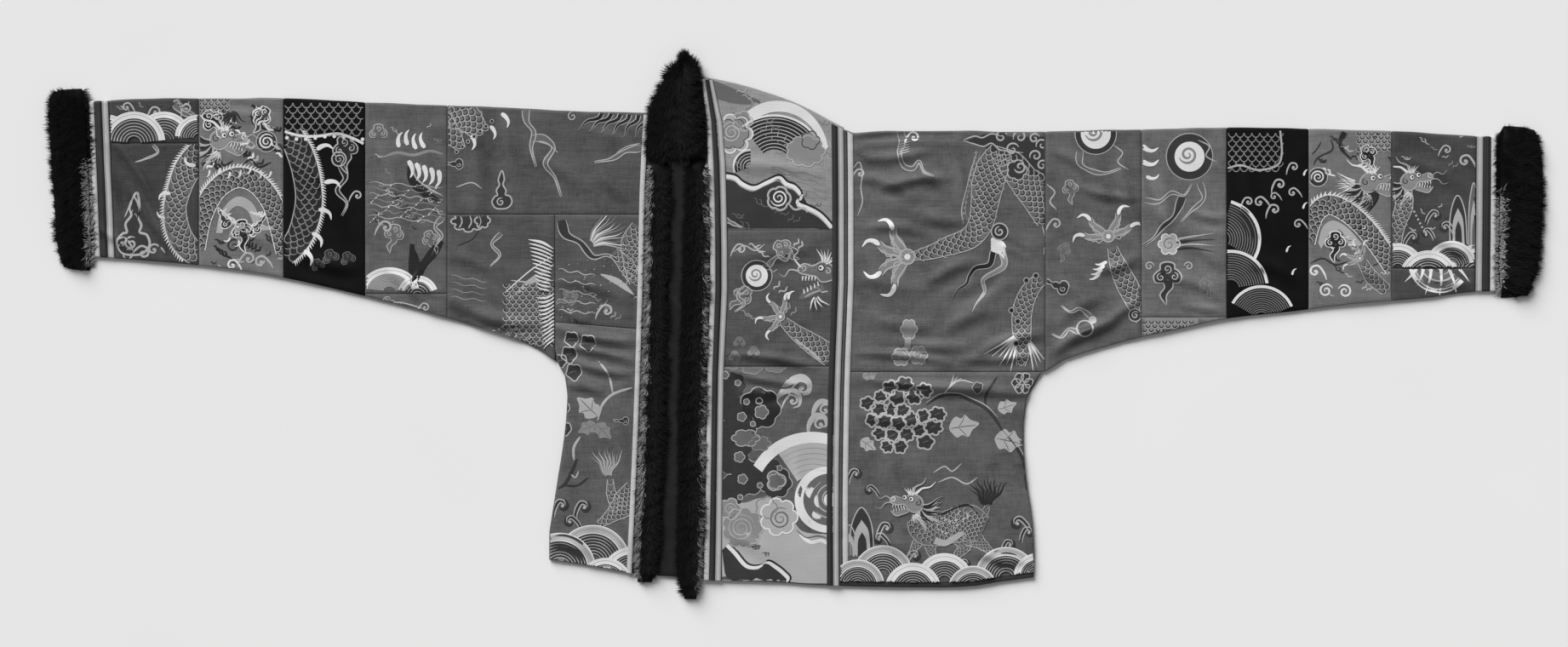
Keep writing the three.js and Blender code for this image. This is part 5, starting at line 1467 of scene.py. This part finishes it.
# inset, lower piece: dark rocks with rings, arcs of foam, clouds
f = Figures()
for x, y, r in ((-44, -102, 27), (-78, -72, 16), (-84, -100, 18), (-70, -128, 22), (-80, -164, 22),
                (-60, -190, 24),
                (-80, -206, 20), (-24, -196, 21), (-34, -182, 18), (-88, -136, 18)):
    f.lobed(x, y, r, 7, 0.1, "dark", 0.24, "light" if r > 18 else None, 1.1, turn=20)
for x, y, r in ((-44, -102, 26), (-78, -72, 15), (-84, -100, 18), (-70, -128, 21), (-80, -164, 22),
                (-60, -190, 23),
                (-80, -206, 20), (-26, -195, 20), (-36, -182, 18), (-88, -136, 18), (-72, -150, 18)):
    f.lobed(x, y, r, 7, 0.1, "black" if r > 24 else "dark", 0.46, turn=20)
for x, y, r in ((-72, -70, 4), (-61, -94, 4), (-45, -93, 4.4), (-42, -107, 9), (-67, -113, 6),
                (-53, -122, 3.6), (-70, -164, 7),
                (-66, -192, 6.5), (-44, -200, 3.8), (-69, -215, 3.6), (-19, -178, 3.6), (-23, -195, 11),
                (-88, -60, 5)):
    f.lobed(x, y, r, 5, 0.12, "dim", 0.58, "light", 1.1)
f.lobed(-62, -140, 14, 6, 0.12, "dim", 0.52, "light", 1.2, (1.3, 0.8))
f.lobed(-44, -147, 12, 6, 0.12, "dim", 0.54, "grey", 1.2, (1.2, 0.8))
for x, y, r, m in ((4, -76, 15, False), (-8, -92, 11, False), (36, -104, 11, True), (30, -122, 12, True)):
    f.line([(x - 26, y - 12), (x - 12, y + 6), (x + 4, y + 13), (x + 14, y + 6), (x + 14, y - 6),
            (x + 6, y - 10)] if not m else
           [(x - 12, y - 16), (x - 12, y - 2), (x - 4, y + 10), (x + 8, y + 8), (x + 10, y - 2),
            (x + 4, y - 4)], r * 0.62, "light", 0.34, "belly")
    f.curl(x + 4, y, r * 0.7, 0, m, "light")
a = np.radians(np.linspace(152, 60, 12))
ray = np.stack([np.cos(a), np.sin(a)], -1)
f.area(np.array([22, -212]) + ray * [84, 80], np.array([24, -216]) + ray * [74, 70], "white", 0.5, 4)
f.area(np.array([24, -216]) + ray[3:] * [74, 70], np.array([24, -222]) + ray[3:] * [34, 34], "light", 0.4, 5)
for r in (40, 47, 54, 61, 68):
    f.line(np.array([24, -218]) + ray[3:] * [r, r * 0.96], 0.9, "grey", 0.54)
f.disc(42, -218, 42, "white", 0.52)
f.disc(44, -218, 33, "dim", 0.56)
f.spiral(46, -218, 26, 3.2, 1.8, "light", 120, 1, 0.7)
f.disc(46, -218, 9, "white", 0.72)
f.lobed(-24, -194, 13, 3, 0.2, "dim", 0.6, "light", 1.6)
f.area([(-92, -214), (-66, -222), (-44, -216), (-22, -218), (-6, -236), (10, -258), (44, -262)],
       [(-92, -330), (-66, -330), (-44, -330), (-22, -330), (-6, -330), (12, -330), (44, -330)], "light",
       0.26, 12)
f.lobed(-20, -240, 24, 7, 0.1, "light", 0.5, "white", 2.0)
f.spiral(-18, -242, 14, 2.2, 2.4, "dim", 60, 1, 0.62)
f.lobed(-36, -228, 14, 5, 0.12, "light", 0.52, "grey", 1.6)
f.lobed(-66, -254, 26, 9, 0.08, "grey", 0.5, "light", 1.4)
f.spiral(-68, -254, 18, 3.0, 1.2, "light", 0, 1, 0.62)
f.lobed(-82, -230, 14, 5, 0.12, "grey", 0.5, "light", 1.6)
f.spiral(-82, -230, 8, 1.6, 1.4, "light", 0, 1, 0.62)
edge = [(-86, -276), (-76, -286), (-62, -302), (-48, -304), (-36, -298), (-24, -304), (-14, -312),
        (-8, -320), (-14, -330)]
f.area(edge, [(-92, -282), (-90, -300), (-86, -316), (-70, -322), (-56, -326), (-44, -328), (-34, -330),
              (-28, -332), (-22, -334)], "dark", 0.4, 6)
f.line(edge, 4.6, "white", 0.56, "none")
f.line([(px + 3, py + 3) for px, py in edge], 2.2, "black", 0.58, "none")
f.line([(6, -262), (20, -272), (34, -270), (44, -276)], 4.6, "white", 0.5)
f.line([(2, -256), (14, -266), (30, -264), (44, -268)], 1.8, "dim", 0.52)
for x, y in ((-80, -46), (-54, -52), (-24, -50)):
    f.lobed(x, y, 9, 5, 0.12, "dim", 0.3, "grey", 1.0, (1.5, 0.8))
work("inset_lower", f)

# right yoke: dragon's leg with its foot, clouds, streamers and a second leg
f = Figures()
f.area([(220, 238), (244, 246), (270, 248), (296, 250), (320, 252)], [(222, 235), (248, 226), (270, 212),
        (292, 198), (320, 188)], "dark", 0.24, 7)
f.line([(214, 238), (228, 243), (238, 241), (250, 246), (262, 243)], 1.8, "light", 0.44)
f.line([(214, 237), (228, 233), (240, 230), (250, 234), (260, 226), (272, 224), (290, 222)], 1.8, "light",
       0.44)
for x, y, r, m in ((262, 242, 8, False), (286, 242, 9, True), (304, 240, 7, False), (276, 226, 9, False),
                   (314, 232, 8, True),
                   (306, 218, 8, True), (314, 206, 7, False)):
    f.spiral(x, y, r, 1.3, 2.2, "light", 200 if m else 20, -1 if m else 1, 0.5)
f.scaled([(252, 226), (276, 206), (292, 186), (312, 168), (330, 150)], [12, 34, 38, 50, 60], 8.8)
f.scaled([(262, 226), (252, 206), (245, 182), (241, 156), (236, 132), (222, 114), (196, 104), (170, 95),
          (146, 90)],
         [26, 40, 40, 34, 30, 27, 23, 17, 9], 8.8)
f.lobed(282, 200, 13, 5, 0.1, "dark", 0.5, "light", 1.6)
f.spiral(286, 204, 8, 1.3, 2.4, "light", 200, 1, 0.66)
f.line([(232, 224), (224, 200), (218, 176), (212, 150), (214, 132)], 1.5, "light", 0.36)
f.line([(236, 226), (230, 200), (222, 178), (217, 154), (219, 134)], 1.1, "grey", 0.36)
for k in range(13):
    f.disc(230 - 1.4 * k, 222 - 7 * k, 2.0, "grey", 0.34)
f.foot(143, 90, 46, 180, ((-66, 1), (-28, 1), (34, -1), (70, -1)))
f.disc(260, 122, 10.5, "dark", 0.5, "light", 1.8)
f.spiral(260, 122, 6.5, 1.4, 2.2, "light", 90, 1, 0.66)
for k in range(4):
    f.claw(249, 112 - 4 * k, 20, -24 - 3 * k, 0.4)
f.line([(252, 96), (247, 80), (230, 76), (222, 66), (218, 56), (207, 48), (200, 36)], 9, "light", 0.34, "tip")
f.line([(252, 96), (247, 80), (230, 76), (222, 66), (218, 56), (207, 48), (200, 36)], 6.6, "black", 0.46,
       "tip")
f.line([(263, 98), (265, 78), (240, 62), (241, 46), (230, 30), (225, 20)], 9.5, "light", 0.34, "tip")
f.line([(263, 98), (265, 78), (240, 62), (241, 46), (230, 30)], 5.4, "grey", 0.44, "tip")
f.streamer([(134, 250), (137, 236), (133, 222), (138, 206), (150, 202), (158, 211), (164, 198), (177, 192)],
           8, "dim")
f.curl(150, 242, 7, 0, False, "white")
for k in range(5):
    f.line([(132, 232 - 3 * k), (146, 236 - 3 * k)], 1.2, "light", 0.46)
f.lobed(145, -2, 12, 6, 0.12, "grey", 0.32, "light", 1.2, (0.9, 1.1))
f.lobed(135, -37, 12, 6, 0.12, "grey", 0.3, "light", 1.2)
f.lobed(157, -35, 12, 6, 0.12, "grey", 0.3, "light", 1.2)
f.line([(144, -12), (143, -24), (140, -32)], 8, "grey", 0.34, "none")
f.spiral(157, -34, 7, 1.3, 1.5, "light", 90)
f.spiral(135, -37, 7, 1.3, 1.5, "light", 90, -1)
f.line([(74, 202), (82, 210), (86, 196), (84, 178), (86, 160), (80, 142)], 1.8, "light", 0.4)
f.curl(82, 196, 6, 0)
f.scaled([(314, 64), (298, 46), (289, 22), (288, -4), (290, -26), (287, -48)], [16, 22, 25, 24, 19, 11], 8.2)
for k in range(5):
    f.disc((306, 294, 275, 281, 283)[k], (66, 60, 22, -20, 8)[k], 3.4, "black", 0.52, "light", 1.0)
f.hair(284, -8, 50, 205, 262, 6, 3.4, ("white",), 0.3, 0.8)
f.hair(296, -14, 44, 274, 312, 4, 3.2, ("white", "light"), 0.3, 0.8)
f.line([(314, 130), (318, 112), (316, 92)], 1.6, "light", 0.4)
work("right_yoke", f)

# right sleeve, next to the body: pearl, foot and leg, knot and flame
f = Figures()
f.pearl(382, 246, 19)
f.streamer([(362, 224), (362, 208), (376, 199), (394, 196), (414, 202)], 8)
f.line([(404, 232), (416, 222), (410, 210), (424, 200)], 1.6, "light")
f.foot(398, 116, 36, 100, ((74, 1), (34, 1), (-30, -1), (-72, -1)))
f.scaled([(403, 102), (410, 80), (422, 54), (436, 28), (444, 10)], [12, 22, 27, 26, 22], 8.6)
for k in range(4):
    f.claw(396 - 3 * k, 84 - 5 * k, 14, 196 + 6 * k, 0.4)
f.disc(432, 16, 8, "dark", 0.5, "light", 1.4)
f.spiral(432, 16, 5, 1.4, 1.6, "light", 40, 1, 0.66)
f.disc(368, -1, 10, "dark", 0.26, "light", 2.0)
f.disc(378, 10, 5, "light", 0.4)
f.streamer([(360, -6), (348, -2), (338, -12), (326, -8)], 5)
f.streamer([(376, 14), (362, 24), (350, 20), (338, 28)], 5)
f.flame(338, 52, 16, 70)
f.line([(320, 182), (330, 172), (324, 160), (332, 150)], 2.0, "light")
f.curl(330, 132, 7, 0)
f.cloud(350, 176, 11, 10, False, "dim", "light")
f.cloud(342, 98, 9, -20, True, "dim", "grey")
work("right_sleeve_1", f)

# right sleeve, second piece: pearl, claws, streamers, cloud with a wing
f = Figures()
f.pearl(501, 217, 19, 0.55)
f.claw(440, 232, 20, -18, -0.7)
f.claw(440, 212, 20, -6, -0.7)
f.claw(446, 192, 15, 0, -0.7)
f.streamer([(444, 162), (462, 160), (478, 171), (494, 168), (504, 182)], 6)
f.streamer([(492, 166), (482, 142), (467, 128), (456, 114), (442, 104)], 9, "dark")
f.streamer([(514, 184), (519, 164), (503, 148), (490, 134)], 7)
f.lobed(475, 106, 14, 6, 0.14, "light", 0.34, "white", 1.4)
f.spiral(475, 106, 8, 1.5, 1.8, "dark", 40)
for k in range(4):
    f.line([(484, 112 - 4 * k), (506, 116 - 5 * k), (534, 120 - 8 * k)], 3.2, ("light", "dark")[k % 2], 0.42,
           "tip")
f.cloud(473, 64, 19, 0, False, "dark", "light")
f.spiral(450, 78, 6, 1.4, 1.8, "light", 0)
f.spiral(500, 78, 6, 1.4, 1.8, "light", 180, -1)
f.cloud(522, 52, 10, 30, False, "dim", "grey")
f.line([(512, 238), (526, 230), (522, 218), (536, 210)], 1.6, "light")
work("right_sleeve_2", f)
f = Figures()
f.scale_field(444, 512, -12, 12, 8.5, ground="grey")
work("right_sleeve_2_gusset", f)

# right sleeve, black piece: scale rings, curls and wave hills
f = Figures()
f.scale_field(550, 614, 204, 252, 10, "grey", None)
f.line([(548, 202), (566, 206), (588, 200), (612, 206), (618, 222), (616, 250)], 2.4, "light", 0.5, "none")
for x, y, r, m in ((614, 182, 7, False), (633, 172, 6, True), (574, 160, 6, False), (591, 160, 7, True),
                   (607, 150, 7, False),
                   (609, 167, 5, True), (632, 204, 6, False), (640, 132, 6, True)):
    f.curl(x, y, r, 10, m, "light")
for k, (x, y, r, start, end) in enumerate(((540, 112, 52, -30, 74), (553, 50, 49, 8, 168), (592, 10, 44, 24,
        150))):
    f.moved(0, 0, over=0.3 * k).hill(x, y, r, start, end, 11, 0.07, "black", stripe="grey")
for x, y in ((631, 67), (645, 151), (646, 193), (624, 96)):
    f.claw(x, y, 9, 60, 0.5)
work("right_sleeve_3", f)

# right sleeve, pale piece: dragon's head at the seam, arched body and a leg
f = Figures()
f.scale_field(716, 760, 228, 252, 8, ground="grey")
f.moved(736, 184).head(0, 0, 50, 0)
f.hair(714, 184, 30, 150, 215, 9, 3.2, ("white", "light"), 0.4, 0.8)
f.hair(742, 176, 44, 196, 250, 7, 4.4, ("black", "dark"), 0.8, 2.2)
f.streamer([(698, 248), (692, 236), (696, 224), (706, 214)], 6, "black", "dark")
f.disc(664, 191, 12, "dark", 0.26, "light", 1.4)
f.spiral(664, 191, 8.6, 2.0, 1.9, "white", 200, -1)
f.line([(680, 240), (682, 226), (664, 216), (658, 206)], 2.2, "dark")
f.line([(668, 236), (662, 226), (656, 220)], 1.6, "dark")
f.scaled([(652, 106), (655, 128), (662, 146), (678, 156), (700, 147), (722, 128), (740, 105), (760, 76)],
         [16, 22, 24, 25, 25, 25, 24, 24], 9.0, "dim", "light", "black", "white", 6, 1)
f.area([(664, 108), (670, 128), (684, 136), (702, 126), (720, 106)], [(668, 100), (678, 118), (686, 122),
        (698, 112), (708, 98)], "light", 0.24)
f.scaled([(720, 84), (732, 64), (750, 48)], [12, 18, 16], 7.5)
f.moved(717, 88).foot(0, 0, 20, 140)
f.spiral(674, 47, 9, 1.6, 2.4, "white", 20)
f.spiral(698, 46, 9, 1.6, 2.4, "white", 160, -1)
f.curl(662, 72, 8, 0, True, "white")
f.line([(654, 82), (670, 88), (686, 80), (702, 84)], 2.0, "dark")
f.wisps(656, 752, 196, 248, 20, 12, ("black", "white", "dark", "light"), 2.0)
f.wisps(672, 730, 88, 130, 16, 10, ("white", "dark", "black"), 1.8)
f.wisps(656, 752, 44, 84, 12, 11, ("dark", "light"), 1.6)
f.cloud(686, 108, 14, 0, False, "black", "white")
f.cloud(728, 220, 12, 30, False, "black", "white")
work("right_sleeve_4", f)

# right sleeve, cuff piece: a beast's head and neck, rocks and waves
f = Figures()
f.moved(786, 186).head(0, 0, 46, 4)
f.scaled([(772, 174), (773, 154), (766, 132), (763, 104)], [22, 22, 17, 12], 7.5)
for k in range(9):
    f.disc(781 + 2.5 * k, 157 - 4.9 * k, 1.6, "light", 0.42)
f.curl(852, 212, 8, 0, True)
f.curl(826, 226, 6, 0)
f.rock(842, 106, 22, 62)
f.rock(862, 100, 14, 84, "dim")
for x, y, r, m in ((812, 142, 7, False), (826, 127, 7, True), (784, 114, 7, False), (802, 120, 6, True)):
    f.curl(x, y, r, 0, m, "light", "dark")
f.hills(((868, 64, 42), (833, 78, 32), (765, 74, 33), (804, 60, 38)), 10, 170, 6, 0.24)
f.wisps(764, 862, 200, 248, 12, 10, ("light", "grey"), 1.2)
f.wisps(776, 826, 108, 160, 10, 9, ("light", "dark"), 1.3)
work("right_sleeve_5", f)
f = Figures()
f.hill(818, 84, 40, 180, 320, 4, 0.12, "dim")
for x0, y0, x1, y1 in ((790, 76, 774, 58), (798, 76, 790, 54), (808, 76, 800, 42), (820, 76, 818, 38),
                       (830, 76, 840, 42), (840, 78, 856, 58)):
    f.line([(x0, y0), ((x0 + x1) / 2 + 1, (y0 + y1) / 2), (x1, y1)], 4.4, "white", 0.5, "tip")
work("right_sleeve_5_wave", f)

# right front: peony, leaves, striding beast, rock and waves along the hem
f = Figures()
f.line([(167, -98), (185, -87), (207, -86), (223, -92), (242, -102), (256, -118), (264, -132)], 4.2, "dark",
       0.34)
f.line([(167, -95), (185, -84), (207, -83), (223, -89), (243, -99), (258, -114)], 1.3, "light", 0.44)
f.line([(242, -102), (243, -84), (257, -62)], 3.4, "dark", 0.34)
f.line([(262, -128), (280, -150), (291, -173), (294, -206)], 3.4, "dark", 0.34)
f.line([(265, -128), (283, -149), (294, -172), (297, -204)], 1.1, "light", 0.44)
f.peony([(121, -76), (139, -72), (109, -88), (130, -89), (93, -96), (107, -103), (122, -104), (152, -88),
         (164, -80),
         (98, -117), (113, -119), (137, -105), (148, -116), (163, -112), (181, -110), (131, -122),
         (158, -130), (176, -126),
         (108, -134), (124, -137), (142, -136), (166, -145), (134, -150), (118, -150)], 9.6)
f.leaf(196, -128, 40, 4)
f.leaf(254, -140, 40, -16)
f.leaf(258, -104, 26, 14)
f.leaf(84, -142, 24, -40)
f.leaf(86, -62, 22, 10, "grey")
for k in range(6):
    f.line([(190, -84 + 0.5 * k), (198 + 2 * k, -72 + k), (202 + 5 * k, -60 - 2 * k)], 1.6, "light", 0.4)
for k in range(6):
    a = 2 * np.pi * k / 6
    f.petal(289 + 8 * np.cos(a), -70 + 8 * np.sin(a), 5.6, 0, "light")
f.petal(232, -76, 7, 0, "grey")
f.moved(192, -250).beast(0, 0, 80)
f.line([(176, -184), (190, -176), (200, -182), (212, -172)], 1.8, "light")
f.line([(182, -196), (200, -190), (218, -198), (232, -190)], 1.8, "light")
f.rock(86, -288, 30, 60, "dark", "light")
f.rock(70, -290, 18, 40, "dim", "light")
for x, y, r, m in ((116, -255, 8, False), (108, -268, 7, True), (152, -290, 7, False), (216, -300, 6, False),
                   (284, -248, 8, True),
                   (296, -260, 7, False), (77, -186, 7, False), (293, -300, 6, True), (96, -206, 6, True),
                   (272, -276, 7, False)):
    f.curl(x, y, r, 10, m, "light", "dark")
f.hills(((112, -314, 38), (190, -322, 36), (268, -318, 40), (308, -316, 30), (80, -328, 34),
         (150, -334, 36), (226, -334, 32)), 6, 174, 6, 0.26, lifted=1, crests=("light", "white"))
work("right_front", f)

# ------------------------------------------------------------------ fur

rng = np.random.default_rng(7)


def hairs(root, heading, length, rise, droop, width, shade):
    """Hairs of three triangles each. A hair leaves its root along its heading and upwards, bends
    down again with the square of the way along, and tapers to a point. Where it would pass the
    surface that the jacket lies on, it lies along it."""
    side = np.stack([-heading[:, 1], heading[:, 0], np.zeros(len(root))], -1)
    ahead = np.stack([heading[:, 0], heading[:, 1], np.zeros(len(root))], -1)
    up = np.array([0.0, 0.0, 1.0])

    def at(t):
        return root + ahead * (length * t * np.cos(rise))[:, None] + up * (length * (t * np.sin(rise)
                - droop * t * t))[:, None]

    half = (width / 2)[:, None]
    points = np.stack([at(0) + side * half, at(0) - side * half, at(0.55) + side * half * 0.75,
                       at(0.55) - side * half * 0.75, at(1.0)], 1)
    points[..., 2] = np.maximum(points[..., 2], HAIR_LOW)
    base = np.arange(len(root))[:, None] * 5
    faces = (base[:, None, :] + np.array([[1, 3, 0], [0, 3, 2], [3, 4, 2]])[None]).reshape(-1, 3)
    # each hair's colour: its grey underfur share, darkened to 0.9 of it at the root as painted shade and
    # raised by 0.03 at the tip as a painted highlight
    shades = np.stack([shade * 0.9, shade * 0.9, shade, shade, shade + 0.03], 1).ravel()
    return points.reshape(-1, 3), faces, shades


def rounded(u, v, corner):
    """Shares across that draw in towards the middle at both ends, which rounds the corners."""
    return 0.5 + (u - 0.5) * (1 - corner * np.abs(2 * v - 1) ** 9)


def fur_body(outline, foot, top, shape, corner, rows=40, columns=9):
    """Closed body under the hair: a dome between the outline's edges on a flat foot."""
    u, v = np.meshgrid(np.linspace(0, 1, columns), np.linspace(0, 1, rows))
    x, y = outline.spread(rounded(u, v, corner), v)
    dome = ((1 - np.abs(2 * u - 1) ** 2.4) * (1 - np.abs(2 * v - 1) ** shape)) ** 0.5
    outer = np.stack([x, y, foot + 0.6 + (top - foot - 0.6) * dome], -1)
    inner = np.stack([x, y, np.full_like(x, foot)], -1)
    return closed_wall(outer, inner)


def fur_piece(name, foot, top, count, grey, heading, shape=30, long=12.0, rooted=(0.06, 0.94), corner=0.1):
    """Fur over its solid: the body and its hairs. grey gives each root's share of grey underfur,
    and heading the way that the hair is combed there."""
    outline = Outline(name)
    points, faces = fur_body(outline, foot, top - FUR_BODY_DROP, shape, corner)
    faces = np.concatenate([faces[:, [0, 1, 2]], faces[:, [0, 2, 3]]])
    u, v = rng.random(count), rng.random(count)
    x, y = outline.spread(rounded(rooted[0] + (rooted[1] - rooted[0]) * u, v, corner), 0.015 + 0.97 * v)
    tuft = np.sin(x / 5.3 + 2.1 * np.sin(y / 8.1)) * np.sin(y / 4.7 + 1.7 * np.sin(x / 7.9))
    dome = ((1 - np.abs(2 * u - 1) ** 2.4) * (1 - np.abs(2 * v - 1) ** shape)) ** 0.5
    z = foot + 0.5 + (top - HAIR_ROOT_DROP - foot) * dome
    way = heading(u, v) + rng.normal(0, 0.28, count) + 0.55 * tuft
    heading_xy = np.stack([np.cos(way), np.sin(way)], -1)
    length = long * (0.6 + 0.55 * rng.random(count)) * (1 + 0.35 * tuft)
    rise = np.radians(10 + 26 * rng.random(count)) * (0.35 + 0.65 * dome)
    share = grey(u, v)
    share = np.where(rng.random(count) < share * 0.85, 0.45 + 0.6 * rng.random(count), 0.0)
    length *= 1 - 0.45 * share      # grey underfur is short
    root = np.stack([x, y, z], -1)
    hair_points, hair_faces, hair_grey_and_painted_light = hairs(
        root, heading_xy, length, rise, 0.10 + 0.16 * rng.random(count), 0.55 + 0.35 * rng.random(count),
                                                share)
    all_points, all_faces = joined((points, faces), (hair_points, hair_faces))
    shade = np.concatenate([np.zeros(len(points)), hair_grey_and_painted_light])
    piece = mesh_piece(name + "_hair", all_points, all_faces, [FUR], shade=shade)
    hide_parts(name)
    return piece


def smooth(value, low, high):
    """0 below low, 1 above high and an easy step between."""
    t = np.clip((value - low) / (high - low), 0, 1)
    return t * t * (3 - 2 * t)


DOWN = -np.pi / 2
fur_piece("left_cuff_fur", 0.2, 14.6, 15000,
          lambda u, v: smooth(u, 0.74, 0.92) * smooth(0.66 - v, 0.0, 0.16),
          lambda u, v: np.pi * (u < 0.94) + (u - 0.5) * 0.5 + 0.5 * (0.5 - v), 14, 11, (0.09, 1.0), 0.3)
fur_piece("right_cuff_fur", 0.2, 14.6, 15000,
          lambda u, v: smooth(1 - u, 0.74, 0.92) * smooth(0.66 - v, 0.0, 0.16),
          lambda u, v: np.pi * (u < 0.06) + (0.5 - u) * 0.5 - 0.5 * (0.5 - v), 14, 11, (0.0, 0.91), 0.3)
fur_piece("left_front_fur", 2.6, 13.6, 22000,
          lambda u, v: smooth(0.34 - u, 0.0, 0.12),
          lambda u, v: DOWN + (u - 0.42) * 2.6, 40, 12)
fur_piece("right_front_fur", 2.6, 13.6, 22000,
          lambda u, v: smooth(u, 0.7, 0.84),
          lambda u, v: DOWN + (u - 0.58) * 2.6, 40, 12)
fur_piece("collar_fur", 2.6, 17.6, 15000,
          lambda u, v: 0 * u,
          lambda u, v: DOWN + (u - 0.5) * 3.4 + np.pi * smooth(v, 0.82, 1.0) * np.sign(u - 0.5), 10, 13)

for piece, size, area, held, rests in SHEETS:
    width, length = size
    if area < 0.35 * width * length:      # a bowed strip: its width is its area over its length
        width, length = max(size), area / max(size)
    width, length = max(width, NARROWEST_SHEET) * MM, max(length, NARROWEST_SHEET) * MM
